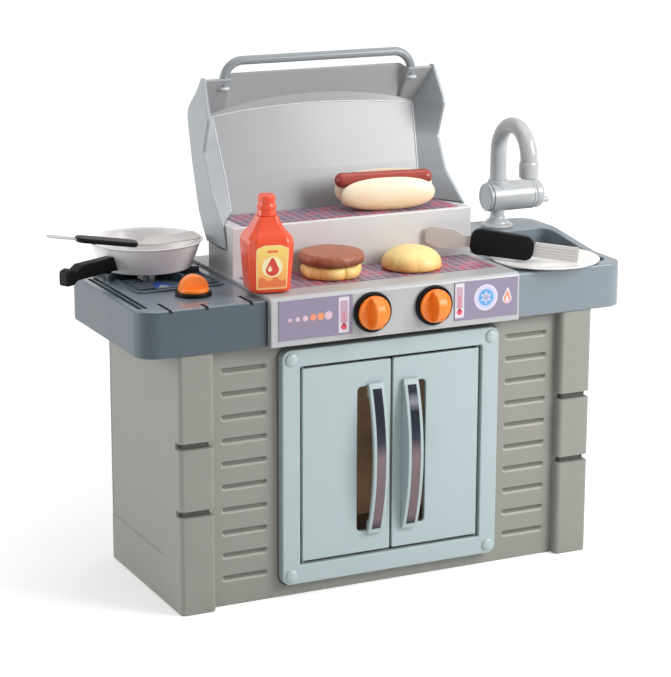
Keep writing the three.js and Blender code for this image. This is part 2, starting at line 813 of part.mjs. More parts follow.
// The burner tray is built for the left side, as seen from the front.
function burnerTray() {
  const left = -trayOuter;
  const body = mirroredSlab(trayOutline(), topSeat, trayTop);
  const hollow = mirroredSlab(trayOutline(wall), topSeat - overrun, trayTop - trayTopWall);
  const grateEdge = rectangle(left + grateOuter, -trayInner - grateInner, grateFront, grateBack,
    grateRadius);
  const grate = slab(grateEdge, trayTop - gap, grateTop);
  const centre = [left + panInset, panBack];
  const bars = [];
  for (let i = 0; i < grateBars; i += 1) {
    const geometry = new THREE.BoxGeometry(grateBarEnd - grateBarStart, grateBarWidth, grateBarRise + gap);
    geometry.translate((grateBarStart + grateBarEnd) / 2, 0, trayTop + (grateBarRise - gap) / 2);
    geometry.rotateZ(((i + 1 / 2) * 2 * Math.PI) / grateBars);
    bars.push(solid(geometry.translate(centre[0], centre[1], 0)));
  }
  const floor = trayTop - reliefDepth;
  const channel = slab(rectangle(left + channelInset, left + channelInset + channelWidth, channelFront,
    channelBack, channelWidth / 2), floor, trayTop + overrun, fewSteps);
  const notches = notchPlaceShares.map((share, i) => {
    const middle = left + trayWidth * share;
    const end = -trayOverhang + trayDepth * notchLengthShares[i];
    return box(middle - notchWidth / 2, middle + notchWidth / 2, -trayOverhang - overrun, end,
      floor, trayTop + overrun);
  });
  const stem = standing(knobStemRadius + pinPlay, left + burnerKnobInset, burnerKnobBack,
    trayTop - trayTopWall - overrun, trayTop + overrun, coarse);
  return cut(joined(body, grate, ...bars), hollow, channel, ...notches, stem);
}

// A slab whose outline is drawn for the right side, built on the left one.
function mirroredSlab(shape, z0, z1) {
  const points = shape.getPoints(cornerSteps).map((p) => new THREE.Vector2(-p.x, p.y));
  return slab(new THREE.Shape(points.reverse()), z0, z1);
}

function burnerLabel() {
  const middle = -trayOuter + panInset;
  const half = burnerLabelWidth / 2;
  const low = grateTop + gap;
  return box(middle - half, middle + half, burnerLabelBack - burnerLabelDepth / 2,
    burnerLabelBack + burnerLabelDepth / 2, low, low + labelThickness);
}

// The sink tray's top rises from its front to the faucet deck behind the basin.
function sinkTray() {
  const profile = (drop, low) => outline([
    [-trayOverhang - overrun, low], [trayBack + overrun, low], [trayBack + overrun, faucetDeck - drop],
    [sinkSlopeBack, faucetDeck - drop], [sinkSlopeFront, trayTop - drop],
    [-trayOverhang - overrun, trayTop - drop],
  ]);
  const reach = [trayInner - overrun, trayOuter + overrun];
  const high = faucetDeck + overrun;
  const low = topSeat - overrun;
  const body = slab(trayOutline(), topSeat, high).intersect(across(profile(0, low), ...reach));
  const room = across(profile(trayTopWall, low - overrun), ...reach);
  const inside = slab(trayOutline(wall), low, high).intersect(room);
  const basinFloor = trayTop - basinDepth;
  const basinOutline = (ease) => rectangle(trayInner + basinInset - ease, trayOuter - basinInset + ease,
    basinFront - ease, basinBack + ease, basinRadius + ease);
  const tub = slab(basinOutline(wall), basinFloor - wall, high);
  const basin = slab(basinOutline(0), basinFloor, high);
  const bolt = standing(stemRadius / 2, faucetPlace, faucetBack, faucetDeck - trayTopWall - overrun,
    faucetDeck + overrun, coarse);
  return cut(body, inside.subtract(tub), basin, bolt);
}

// Faucet

function faucetBase() {
  const low = faucetDeck + gap;
  const flange = standing(flangeRadius, faucetPlace, faucetBack, low, low + flangeHeight);
  const stem = standing(stemRadius, faucetPlace, faucetBack, low, valveAxis);
  const peg = standing(stemRadius / 2 - gap, faucetPlace, faucetBack, faucetDeck - trayTopWall,
    low + flangeHeight, coarse);
  const seat = lying(valveRadius + gap, faucetBack, valveAxis, faucetPlace - valveInner - overrun,
    faucetPlace + valveOuter + overrun);
  return cut(joined(flange, stem, peg), seat);
}

function valveBody() {
  const barrel = lying(valveRadius, faucetBack, valveAxis, faucetPlace - valveInner,
    faucetPlace + valveOuter);
  const top = valveAxis + valveRadius + spoutBossRise;
  const boss = standing(spoutBossRadius, faucetPlace, faucetBack, valveAxis, top);
  const socket = standing(spoutPegRadius + pinPlay, faucetPlace, faucetBack, top - spoutPegLength - gap,
    top + overrun, coarse);
  const bore = lying(leverRadius + pinPlay, faucetBack, valveAxis, faucetPlace + valveOuter - leverLength,
    faucetPlace + valveOuter + overrun, coarse);
  return cut(joined(barrel, boss), socket, bore);
}

function valveEndCap() {
  const right = faucetPlace - valveInner - gap;
  return lying(endCapRadius, faucetBack, valveAxis, right - endCapThickness, right);
}

function faucetLever() {
  const left = faucetPlace + valveOuter + gap;
  const right = left + leverCapThickness;
  const cap = lying(leverCapRadius, faucetBack, valveAxis, left, right);
  const spindle = lying(leverRadius, faucetBack, valveAxis, left - leverLength + gap, left + gap, coarse);
  const lever = lying(leverRadius, faucetBack - leverDrop / 2, valveAxis - leverDrop, right - gap,
    right + leverLength, coarse);
  return joined(cap, spindle, lever);
}

// The spout's own frame has its origin on the swivel axis at the valve's axis height.
function spout() {
  const low = valveRadius + spoutBossRise + gap;
  const path = new THREE.CurvePath();
  const at = (y, z) => new THREE.Vector3(0, y, z);
  path.add(new THREE.LineCurve3(at(0, low), at(0, spoutRise)));
  path.add(new SpoutBend());
  path.add(new THREE.LineCurve3(at(-2 * spoutBend, spoutRise), at(-2 * spoutBend, spoutRise - spoutDrop)));
  const peg = standing(spoutPegRadius, 0, 0, low - spoutPegLength, low + spoutPegLength, coarse);
  return joined(tube(path, spoutRadius, 2 * arcSteps), peg);
}

class SpoutBend extends THREE.Curve {
  getPoint(t, target = new THREE.Vector3()) {
    const turn = Math.PI * t;
    return target.set(0, -spoutBend + spoutBend * Math.cos(turn), spoutRise + spoutBend * Math.sin(turn));
  }
}

function nozzle() {
  const high = spoutRise - spoutDrop - gap;
  return standing(nozzleRadius, 0, -2 * spoutBend, high - nozzleLength, high);
}

// Lid

// Side views of the lid in its open place: [share of its depth behind the hinge, share of its
// height above the hinge].
const rimShares = [[0.5, 0.975], [0.262, 0.728], [0.444, 0.486], [0.19, 0.247], [-0.27, 0.053],
  [-0.349, -0.103]];
const shellShares = [[0.262, -0.132], [0.349, -0.074], [0.437, -0.016], [0.579, 0.086], [0.73, 0.214],
  [0.841, 0.37], [0.968, 0.621], [1, 0.708], [0.944, 0.774], [0.73, 0.889], [0.603, 0.975]];
const crownShares = [[0.714, 0.708], [1, 0.708], [0.944, 0.79], [0.73, 1], [0.667, 1]];
// Inside of the lid at rising heights: [share of its height above the hinge, share of its depth
// behind the hinge, and of its half width the shares at the back wall and at the mouth].
const insideShares = [[-0.165, 0.333, 0.775, 0.965], [0.037, 0.333, 0.784, 0.965],
  [0.309, 0.476, 0.802, 0.965], [0.708, 0.754, 0.837, 0.965], [0.975, 0.508, 0.938, 0.938],
  [1.078, 0.413, 0.93, 0.93]];
const crownInsideShares = [[0.704, 0.754, 0.709, 0.709], [1, 0.667, 0.709, 0.709],
  [1.078, 0.651, 0.709, 0.709]];
const lidRimReach = -90;      // the hollow runs this far in front of the hinge
const lidEarHigh = 15;        // the ears are at their full width up to here
const lidSkirtHigh = 55;      // below this the lid's sides clear the riser

function lidPoint([depthShare, heightShare]) {
  return [hingeBack + lidDeep * depthShare, hingeHeight + lidHigh * heightShare];
}

function lidRoom(levels) {
  return lofted(levels.map(([heightShare, depthShare, backShare, mouthShare]) => {
    const [back, height] = lidPoint([depthShare, heightShare]);
    const half = halfLid * backShare;
    const mouth = halfLid * mouthShare;
    const front = hingeBack + lidRimReach;
    const corners = [[-mouth, front], [mouth, front], [half, back], [-half, back]];
    return corners.map(([x, y]) => new THREE.Vector3(x, y, height));
  }));
}

// Places of the handle's legs: [x, behind the front of the pillars, height of the feet].
function handleFeet() {
  const back = hingeBack + lidDeep - lidHandleForward;
  const low = hingeHeight + lidHigh - lidHandleDrop;
  return [[-lidHandleHalf, back, low], [lidHandleHalf, back, low]];
}

// Notches in the rim for the handle's feet.
function lidNotches() {
  const radius = lidHandleFootRadius + gap;
  return handleFeet().flatMap(([x, y, foot]) => {
    const low = foot - gap;
    const high = foot + lidHandleRise;
    return [standing(radius, x, y, low, high), box(x - radius, x + radius, hingeBack, y, low, high)];
  });
}

function lid() {
  const crown = across(outline(crownShares.map(lidPoint)), -halfCrown, halfCrown);
  const shell = across(outline([...rimShares, ...shellShares].map(lidPoint)), -halfLid, halfLid);
  const low = hingeHeight - riserRise;
  const ears = hingeHeight + lidEarHigh;
  const skirtTop = hingeHeight + lidSkirtHigh;
  const high = hingeHeight + lidHigh;
  const brow = hingeHeight + lidShoulder;
  const right = [[halfLid, low], [halfLid, ears], [halfMouth, skirtTop], [halfMouth, brow], [halfRim, high]];
  const left = right.map(([x, z]) => [-x, z]).reverse();
  const front = facing(outline([...right, ...left]), hingeBack - halfLid, hingeBack + halfLid);
  const skirt = halfRiser + lidRiserPlay;
  const riserSwing = Math.hypot(riserBack - hingeBack, hingeDrop) + lidRiserPlay;
  const riserRoom = box(-skirt, skirt, hingeBack + lidRimReach, hingeBack + riserSwing, deckTop, skirtTop);
  const bore = skirt + hingePinReach + pinPlay;
  const pins = lying(hingePinRadius + pinPlay, hingeBack, hingeHeight, -bore, bore, coarse);
  return cut(joined(shell, crown).intersect(front), lidRoom(insideShares), lidRoom(crownInsideShares),
    riserRoom, pins, ...lidNotches());
}

// A headed stub pin, put in from inside the riser.
function lidHinge() {
  const head = halfRiser - wall - gap;
  const end = halfRiser + lidRiserPlay + hingePinReach;
  return joined(lying(hingePinRadius, hingeBack, hingeHeight, head - hingePinHead, end, coarse),
    lying(hingePinHeadRadius, hingeBack, hingeHeight, head - hingePinHead, head));
}

function lidHandle() {
  const [[, y, low], [half]] = handleFeet();
  const high = low + lidHandleRise;
  const at = (x, z) => new THREE.Vector3(x, y, z);
  const path = new THREE.CurvePath();
  path.add(new THREE.LineCurve3(at(-half, low), at(-half, high - lidHandleBend)));
  path.add(new THREE.QuadraticBezierCurve3(at(-half, high - lidHandleBend), at(-half, high),
    at(-half + lidHandleBend, high)));
  path.add(new THREE.LineCurve3(at(-half + lidHandleBend, high), at(half - lidHandleBend, high)));
  path.add(new THREE.QuadraticBezierCurve3(at(half - lidHandleBend, high), at(half, high),
    at(half, high - lidHandleBend)));
  path.add(new THREE.LineCurve3(at(half, high - lidHandleBend), at(half, low)));
  const feet = [-half, half].map((x) => standing(lidHandleFootRadius, x, y, low, low + lidHandleFoot));
  return joined(tube(path, lidHandleRadius, 2 * arcSteps, coarse / 2), ...feet);
}

// Pan

function panProfile(ease = 0) {
  return [[0, -ease], [panBaseRadius + ease, -ease], [panRimRadius + ease, panHeight]];
}

function pan() {
  return turned([...panProfile(), [panRimRadius - panWall, panHeight], [panBaseRadius - panWall, panWall],
    [0, panWall]]);
}

// The handle's own frame: X runs out from the middle of the pan.
function panHandle() {
  const start = panBaseRadius;
  const end = panRimRadius + panHandleLength;
  const length = end - start;
  const low = panHandleRise;
  const high = low + panHandleHeight;
  const hook = low - panHookDrop;
  const along = (share) => start + length * share;
  const side = outline([
    [start, low], [along(hookStartShare), low], [along(hookFullShare), hook],
    [end, hook, panHookDrop / 2], [end, high - panHookDrop, panHookDrop],
    [along(hookBackShare), high - panHookDrop / 2], [along(handleTopShare), high], [start, high],
  ]);
  const bar = facing(side, -panHandleWidth / 2, panHandleWidth / 2);
  return bar.subtract(turned([...panProfile(gap), [0, panHeight]]));
}

// Spatula lying across the pan: X runs along it towards the blade, from the middle of the grip.

function spatulaBlade() {
  const half = spatulaThickness / 2;
  const elbow = spatulaGripLength / 2 + spatulaThickness;
  const start = spatulaTipWidth / 2;
  const tang = box(-spatulaGripLength / 2 - spatulaTip, elbow, -start, start, -half, half);
  const end = spatulaBladeWidth / 2;
  const shoulder = spatulaBladeLength / 4;
  const flat = outline([[-half, -start], [shoulder, -end, half], [spatulaBladeLength, -end, end / 4],
    [spatulaBladeLength, end, end / 4], [shoulder, end, half], [-half, start]]);
  const blade = extruded(flat, spatulaThickness).translate(0, 0, -half);
  return joined(tang, solid(blade.rotateY(-spatulaBend * degree).translate(elbow, 0, 0)));
}

function spatulaGrip() {
  const half = spatulaGripLength / 2;
  const bar = rectangle(-half, half, -spatulaGripWidth / 2, spatulaGripWidth / 2, spatulaGripWidth / 2 - gap);
  const body = slab(bar, -spatulaGripThickness / 2, spatulaGripThickness / 2);
  const room = spatulaTipWidth / 2 + gap;
  const slot = spatulaThickness / 2 + gap;
  return body.subtract(box(-half - overrun, half + overrun, -room, room, -slot, slot));
}

// Plate and turner

function plate() {
  return turned([[0, 0], [plateFootRadius, 0], [plateRadius, plateHeight - plateWall],
    [plateRadius, plateHeight], [plateRadius - plateWall, plateHeight], [plateFootRadius, plateWall],
    [0, plateWall]]);
}

// Height of the plate's upper face at a distance from its middle.
function plateFace(distance) {
  const slope = (plateHeight - plateWall) / (plateRadius - plateWall - plateFootRadius);
  return Math.min(plateHeight, plateWall + Math.max(0, distance - plateFootRadius) * slope);
}

// The turner stands on its edge: X runs along it, away from its head, from the middle of the grip.
function turnerBlade() {
  const half = turnerThickness / 2;
  const start = -turnerLength / 2;
  const end = turnerLength / 2;
  const head = turnerHeadHeight / 2;
  const neck = turnerNeckHeight / 2;
  const shoulder = start + turnerHeadLength;
  const neckStart = start + turnerHeadLength * neckStartShare;
  const at = ([lengthShare, heightShare]) => [start + turnerHeadLength * lengthShare, head * heightShare];
  const headShape = outline([...headLowShares.map(at), [neckStart, -neck], [shoulder, -neck],
    [shoulder, neck], [neckStart, neck], ...headHighShares.map(at)]);
  const barStart = end - turnerBarLength;
  const bar = turnerBarHeight / 2;
  const tang = box(shoulder - overrun, barStart + overrun, -half, half, -neck, neck);
  const handle = facing(rectangle(barStart, end, -bar, bar, half), -half, half);
  return joined(facing(headShape, -half, half), tang, handle);
}

function turnerGrip() {
  const start = -turnerLength / 2 + turnerHeadLength + gap;
  const end = turnerLength / 2 - turnerBarLength - gap;
  const high = turnerGripHeight / 2;
  const body = facing(rectangle(start, end, -high, high, turnerGripRadius), -turnerGripThickness / 2,
    turnerGripThickness / 2);
  const neck = turnerNeckHeight / 2 + gap;
  const slot = turnerThickness / 2 + gap;
  return body.subtract(box(start - overrun, end + overrun, -slot, slot, -neck, neck));
}

// Sauce bottle: eight-sided, with a wide flat front for its label

function eightSided(half, height) {
  const flat = half * bottleFlatShare;
  const corners = [[flat, -half], [half, -flat], [half, flat], [flat, half], [-flat, half], [-half, flat],
    [-half, -flat], [-flat, -half]];
  return corners.map(([x, y]) => new THREE.Vector3(x, y, height));
}

function bottleBody() {
  const shoulder = bottleBodyHeight;
  const neck = bottleNeckHeight;
  const rise = neck - shoulder;
  const taper = bottleHalf - bottleNeckRadius;
  const rings = shoulderShares.map(([taperShare, riseShare]) => eightSided(
    bottleHalf - taper * taperShare, shoulder + rise * riseShare));
  return lofted([eightSided(bottleHalf - bottleFootInset, 0), eightSided(bottleHalf, bottleFootInset),
    eightSided(bottleHalf, shoulder), ...rings, eightSided(bottleNeckRadius, neck)]);
}

function bottleCap() {
  const low = bottleNeckHeight + gap;
  const flare = (bottleNeckRadius + bottleCapRadius) / 2;
  const rings = capShares.map(([radiusShare, heightShare]) => [bottleCapRadius * radiusShare,
    low + bottleCapHeight * heightShare]);
  return turned([[0, low], [flare, low], ...rings, [0, low + bottleCapHeight]], medium);
}

function bottleLabel() {
  const half = bottleLabelWidth / 2;
  const back = -bottleHalf - gap;
  return box(-half, half, back - labelThickness, back, bottleLabelLow, bottleLabelLow + bottleLabelHeight);
}

// Food

// A disc with rounded edges, its side bulging between height 0 and the given height.
function roundedDisc(radius, height, squareShare) {
  const profile = [[0, 0]];
  for (let i = 0; i <= domeSteps; i += 1) {
    const turn = -Math.PI / 2 + (i / domeSteps) * Math.PI;
    const side = Math.cos(turn) ** squareShare;
    profile.push([radius - (height / 2) * (1 - side), (height / 2) * (1 + Math.sin(turn))]);
  }
  profile.push([0, height]);
  return turned(profile, roundSides);
}

function topBun() {
  const profile = [[0, 0], [topBunRadius - topBunEdge, 0]];
  for (let i = 0; i < domeSteps; i += 1) {
    const turn = (i / domeSteps) * (Math.PI / 2);
    profile.push([topBunRadius * Math.cos(turn), topBunEdge + (topBunHeight - topBunEdge) * Math.sin(turn)]);
  }
  profile.push([0, topBunHeight]);
  return turned(profile, roundSides);
}

function capsule(radius, length, x, y, z) {
  const geometry = new THREE.CapsuleGeometry(radius, length - 2 * radius, cornerSteps + 1, medium);
  return solid(geometry.rotateZ(Math.PI / 2).translate(x, y, z));
}

function sausage() {
  return capsule(sausageRadius, sausageLength, -sausageLeft, -sausageForward, sausageRise);
}

function hotDogBun() {
  const loaf = new THREE.SphereGeometry(1, medium, coarse).rotateZ(Math.PI / 2);
  loaf.scale(hotDogLength / 2, hotDogWidth / 2, hotDogHeight / 2);
  loaf.translate(0, 0, hotDogHeight / 2 - hotDogFlat);
  const trough = capsule(sausageRadius + gap, hotDogLength + 2 * sausageLeft, 0, -sausageForward,
    sausageRise);
  const room = box(-hotDogLength, hotDogLength, -hotDogWidth, -sausageForward + sausageRadius + gap,
    sausageRise, hotDogHeight + overrun);
  const under = box(-hotDogLength, hotDogLength, -hotDogWidth, hotDogWidth, -hotDogHeight, 0);
  return cut(solid(loaf), trough, room, under);
}

// Assembly

pair('right_side_panel', 'left_side_panel', sidePanel(), stone);
piece('front_panel', frontPanel(), stone);
piece('back_panel', backPanel(), stone);
piece('floor_panel', floorPanel(), stone);

piece('door_frame', doorFrame(), doorBlue);
const boltNames = ['bolt_lower_left', 'bolt_lower_right', 'bolt_upper_left', 'bolt_upper_right'];
boltPlaces().forEach(([x, z], i) => {
  const seat = place(x, frameFace, z);
  seat.rotation.x = Math.PI / 2;
  piece(boltNames[i], frameBolt(), doorBlue, seat);
});

pair('right_door', 'left_door', door(), doorBlue);
pair('right_door_lower_pin', 'left_door_lower_pin', doorPin(doorLow), chrome);
pair('right_door_upper_pin', 'left_door_upper_pin', doorPin(doorHigh), chrome);
pair('right_door_handle', 'left_door_handle', doorHandle(), doorBlue);
pair('right_handle_strip', 'left_handle_strip', handleStrip(), chrome);

piece('grill_console', grillConsole(), silver);
const leftLabelStart = -halfConsole + leftLabelInset;
const rightLabelStart = halfConsole - rightLabelInset - rightLabelWidth;
piece('control_label_left', controlLabel(leftLabelStart, leftLabelWidth), labelPurple);
piece('control_label_right', controlLabel(rightLabelStart, rightLabelWidth), labelPurple);
piece('deck_label', deckLabel(), coalPurple);
piece('shelf_label', shelfLabel(), coalPurple);

for (const [side, x] of [['left', leftKnobPlace], ['right', rightKnobPlace]]) {
  const socket = place(x, -consoleOverhang, cabinetHeight + knobRise);
  socket.rotation.set(Math.PI / 2, 0, 0);
  piece(`${side}_bezel`, bezel(bezelRadius), black, socket);
  const dial = new THREE.Group();
  dial.rotation.z = Math.PI / 2;
  socket.add(dial);
  piece(`${side}_knob`, knob(knobRadius), orange, dial);
}

piece('burner_tray', burnerTray(), slate);
piece('burner_label', burnerLabel(), flameBlue);
const burnerKnobSeat = place(-trayOuter + burnerKnobInset, burnerKnobBack, trayTop);
piece('burner_bezel', bezel(burnerBezelRadius), black, burnerKnobSeat);
piece('burner_knob', knob(burnerKnobRadius), orange, burnerKnobSeat);

piece('sink_tray', sinkTray(), slate);
piece('faucet_base', faucetBase(), faucetSilver);
piece('valve_body', valveBody(), faucetSilver);
piece('valve_end_cap', valveEndCap(), faucetSilver);
piece('faucet_lever', faucetLever(), faucetSilver);
const swivel = place(faucetPlace, faucetBack, valveAxis);
piece('spout', spout(), faucetSilver, swivel);
piece('nozzle', nozzle(), faucetSilver, swivel);

piece('lid', lid(), lidSilver);
piece('lid_handle', lidHandle(), lidSilver);
pair('lid_pin_right', 'lid_pin_left', lidHinge(), lidSilver);

const panSeat = place(-trayOuter + panInset, panBack, barTop + gap);
piece('pan', pan(), panGrey, panSeat);
const panHandleTurn = place(0, 0, 0, panSeat);
panHandleTurn.rotation.z = panHandleAngle * degree;
piece('pan_handle', panHandle(), black, panHandleTurn);

// The spatula's grip lies on the pan's rim, and its blade leans back up to the rim's other side.
const spatulaSeat = place(-panRimRadius + spatulaGripLength / 4, 0, panHeight, panSeat);
spatulaSeat.rotation.order = 'ZYX';
spatulaSeat.rotation.z = spatulaTurn * degree;
spatulaSeat.rotation.y = spatulaTilt * degree;
const spatulaLay = place(0, 0, spatulaGripThickness / 2 + gap - spatulaSink, spatulaSeat);
piece('spatula_blade', spatulaBlade(), paleGrey, spatulaLay);
piece('spatula_grip', spatulaGrip(), black, spatulaLay);

const plateSeat = place(trayOuter - platePlace, plateBack, trayTop + gap);
piece('plate', plate(), plateWhite, plateSeat);

// The turner's tail stands in the plate, and its head rises past the plate's rim.
const turnerLine = place(0, 0, 0, plateSeat);
turnerLine.rotation.z = turnerTurn * degree;
const tailReach = turnerLength - turnerHeadReach;
const tilt = turnerTilt * degree;
const turnerRise = (turnerLength * Math.sin(tilt) + turnerBarHeight * Math.cos(tilt)) / 2;
const tailSeat = plateFace(Math.hypot(tailReach, turnerForward));
const turnerLay = place(tailReach - turnerLength / 2, -turnerForward, tailSeat + turnerRise, turnerLine);
turnerLay.rotation.y = tilt;
piece('turner_blade', turnerBlade(), paleGrey, turnerLay);
piece('turner_grip', turnerGrip(), black, turnerLay);

const bottleSeat = place(bottlePlace, bottleBack, deckLabelTop + gap);
bottleSeat.rotation.z = bottleTurn * degree;
piece('bottle_body', bottleBody(), sauceRed, bottleSeat);
piece('bottle_cap', bottleCap(), sauceRed, bottleSeat);
piece('bottle_label', bottleLabel(), labelYellow, bottleSeat);

const burgerSeat = place(burgerPlace, burgerBack, deckLabelTop + gap);
piece('bottom_bun', roundedDisc(bottomBunRadius, bottomBunHeight, bunSquareShare), bunTan, burgerSeat);
const pattySeat = place(0, 0, bottomBunHeight + gap, burgerSeat);
piece('patty', roundedDisc(pattyRadius, pattyHeight, pattySquareShare), meatBrown, pattySeat);
piece('top_bun', topBun(), bunTan, place(topBunPlace, topBunBack, deckLabelTop + gap));

const hotDogSeat = place(hotDogPlace, (riserFront + riserBack) / 2 - hotDogForward, shelfLabelTop + gap);
hotDogSeat.rotation.z = hotDogTurn * degree;
piece('hot_dog_bun', hotDogBun(), bunCream, hotDogSeat);
piece('sausage', sausage(), sausageRed, hotDogSeat);

export default toy;
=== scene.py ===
# %% [markdown]
# A toy barbecue grill in Blender.
# The solids of the toy come as a fixed frame: every named node already has its size and its place.
# The frame gives us the joints too, so what we add here only has to ride on the right body.
# In this lesson we give each moulded plastic piece its soft edges, its finish and its prints.
# We measure in millimetres, and turn them into Blender's metres only where a mesh is made.
# %% Frame and libraries
import json
import math

import bmesh
import bpy
import numpy as np
from mathutils import Matrix, Vector


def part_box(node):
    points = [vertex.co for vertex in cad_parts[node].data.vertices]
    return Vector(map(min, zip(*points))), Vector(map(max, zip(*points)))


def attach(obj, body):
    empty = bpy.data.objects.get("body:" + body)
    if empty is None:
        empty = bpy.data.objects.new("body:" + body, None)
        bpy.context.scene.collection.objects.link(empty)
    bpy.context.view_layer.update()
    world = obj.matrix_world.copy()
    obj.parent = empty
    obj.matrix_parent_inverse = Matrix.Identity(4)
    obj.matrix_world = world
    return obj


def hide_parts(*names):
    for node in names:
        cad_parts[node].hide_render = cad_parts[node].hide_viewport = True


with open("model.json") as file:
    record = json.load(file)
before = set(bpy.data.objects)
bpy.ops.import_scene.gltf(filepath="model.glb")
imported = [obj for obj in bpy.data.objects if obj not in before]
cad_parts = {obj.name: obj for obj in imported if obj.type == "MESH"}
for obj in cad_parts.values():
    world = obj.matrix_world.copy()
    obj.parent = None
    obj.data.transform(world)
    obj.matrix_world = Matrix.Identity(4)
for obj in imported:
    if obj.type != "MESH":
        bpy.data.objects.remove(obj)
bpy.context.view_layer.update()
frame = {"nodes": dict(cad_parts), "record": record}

mm = 0.001


def room(name):
    """A node's lowest corner, its highest corner and the middle between them, in millimetres."""
    low, high = (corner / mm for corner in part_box(name))
    return low, high, (low + high) / 2


# %% [markdown]
# The camera stands where the photographer stood: a little to the left, above the toy, with a long lens.
# A long lens keeps the verticals nearly parallel, as a catalogue picture does.
# We build its turn from three plain turns, so that yaw, pitch and roll can be read one by one.
# %% Camera
scene = bpy.context.scene
camera_data = bpy.data.cameras.new("Camera")
camera = bpy.data.objects.new("Camera", camera_data)
scene.collection.objects.link(camera)
scene.camera = camera
camera_data.sensor_width, camera_data.lens = 36.0, 123.37
camera.location = (-1.6835, -3.4261, 1.3629)
camera_yaw, camera_pitch, camera_roll = 25.81, 14.39, 0.17
yaw, pitch, roll = (Matrix.Rotation(math.radians(degrees), 3, axis) for degrees, axis in (
    (-camera_yaw, "Z"), (90 - camera_pitch, "X"), (camera_roll, "Z")))
camera.rotation_euler = (yaw @ pitch @ roll).to_euler()
print("camera looks along", (camera.rotation_euler.to_matrix() @ Vector((0, 0, -1)))[:])

# %% [markdown]
# Surfaces first need points. We describe a shape as rings of points and join neighbouring rings.
# A ring is an outline at one level, so a slab, a lathed pot and a bent tube all come from one loft.
# Working with whole arrays keeps this fast, and the same few functions serve every piece.
# %% Shapes made of rings
class Shape:
    """Points in millimetres, faces and, for each face, the number of the finish that it takes."""

    def __init__(self, points, faces, marks=None):
        self.points, self.faces = np.asarray(points, float), faces
        self.marks = [0] * len(faces) if marks is None else list(marks)

    def marked(self, mark):
        """The same shape with one finish number for all its faces."""
        self.marks = [mark] * len(self.faces)
        return self

    def moved(self, x=0, y=0, z=0):
        """The same shape with every point shifted."""
        self.points = self.points + np.array((x, y, z))
        return self

    def turned(self, degrees, axis="Z"):
        """The same shape with every point turned about one axis through the origin."""
        self.points = self.points @ np.array(Matrix.Rotation(math.radians(degrees), 3, axis)).T
        return self

    def facing(self):
        """An outline drawn in X and Y now stands in X and Z, and its levels run along Y."""
        self.points = self.points[:, [0, 2, 1]]
        return self

    def across(self):
        """An outline drawn in X and Y now stands in Y and Z, and its levels run along X."""
        self.points = self.points[:, [2, 0, 1]]
        return self

    def mirrored(self):
        """A copy of the shape on the other side of the middle."""
        return Shape(self.points * (-1, 1, 1), self.faces, self.marks)


def joined(*shapes):
    """All the shapes as one, each still a closed shell of its own."""
    starts = np.cumsum([0] + [len(shape.points) for shape in shapes]).tolist()
    faces = [[start + i for i in face] for shape, start in zip(shapes, starts) for face in shape.faces]
    marks = [mark for shape in shapes for mark in shape.marks]
    return Shape(np.vstack([shape.points for shape in shapes]), faces, marks)


def loft(rings, wrap=False):
    """Four-sided faces between neighbouring rings of equal length. The end rings are closed by one
    face each, or, with wrap, the last ring joins the first."""
    rings = np.asarray(rings, float)
    count, size, _ = rings.shape
    row = np.arange(count if wrap else count - 1)[:, None]
    column = np.arange(size)[None, :]
    after, beside = (row + 1) % count, (column + 1) % size
    corners = np.stack([row * size + column, row * size + beside, after * size + beside,
                        after * size + column], -1)
    faces = corners.reshape(-1, 4).tolist()
    if not wrap:
        faces += [list(range(size))[::-1], list(range((count - 1) * size, count * size))]
    return Shape(rings.reshape(-1, 3), faces)


def outline(corners, steps=6, sides=1):
    """A closed outline, counter-clockwise, through corners (x, y, radius). Each corner is an arc that
    touches both its sides, drawn with steps turns. Each straight side is split into sides parts."""
    corners = np.array([(tuple(corner) + (0.0,))[:3] for corner in corners], float)
    spots, radii = corners[:, :2], corners[:, 2]
    enter = np.roll(spots, 1, 0) - spots
    leave = np.roll(spots, -1, 0) - spots
    enter /= np.linalg.norm(enter, axis=1)[:, None]
    leave /= np.linalg.norm(leave, axis=1)[:, None]
    half = np.arccos(np.clip((enter * leave).sum(1), -1, 1)) / 2
    middle = (enter + leave) / np.linalg.norm(enter + leave, axis=1)[:, None]
    centre = spots + middle * (radii / np.sin(half))[:, None]
    first = spots + enter * (radii / np.tan(half))[:, None] - centre
    bend = np.sign(enter[:, 1] * leave[:, 0] - enter[:, 0] * leave[:, 1])
    turn = np.linspace(0, 1, steps + 1)[None, :] * ((math.pi - 2 * half) * bend)[:, None]
    cos, sin = np.cos(turn), np.sin(turn)
    arcs = np.stack([first[:, :1] * cos - first[:, 1:] * sin + centre[:, :1],
                     first[:, :1] * sin + first[:, 1:] * cos + centre[:, 1:]], -1)
    if sides > 1:
        share = (np.arange(1, sides) / sides)[None, :, None]
        straight = arcs[:, -1:] * (1 - share) + np.roll(arcs, -1, 0)[:, :1] * share
        arcs = np.concatenate([arcs, straight], 1)
    return arcs.reshape(-1, 2)


def rectangle(x0, x1, y0, y1, radius, steps=6, sides=1):
    """A rectangle's outline with four equal corners."""
    return outline([(x0, y0, radius), (x1, y0, radius), (x1, y1, radius), (x0, y1, radius)], steps, sides)


def circle(radius, steps=24):
    """A circle's points, counter-clockwise."""
    turn = np.linspace(0, 2 * math.pi, steps, endpoint=False)
    return np.column_stack([radius * np.cos(turn), radius * np.sin(turn)])


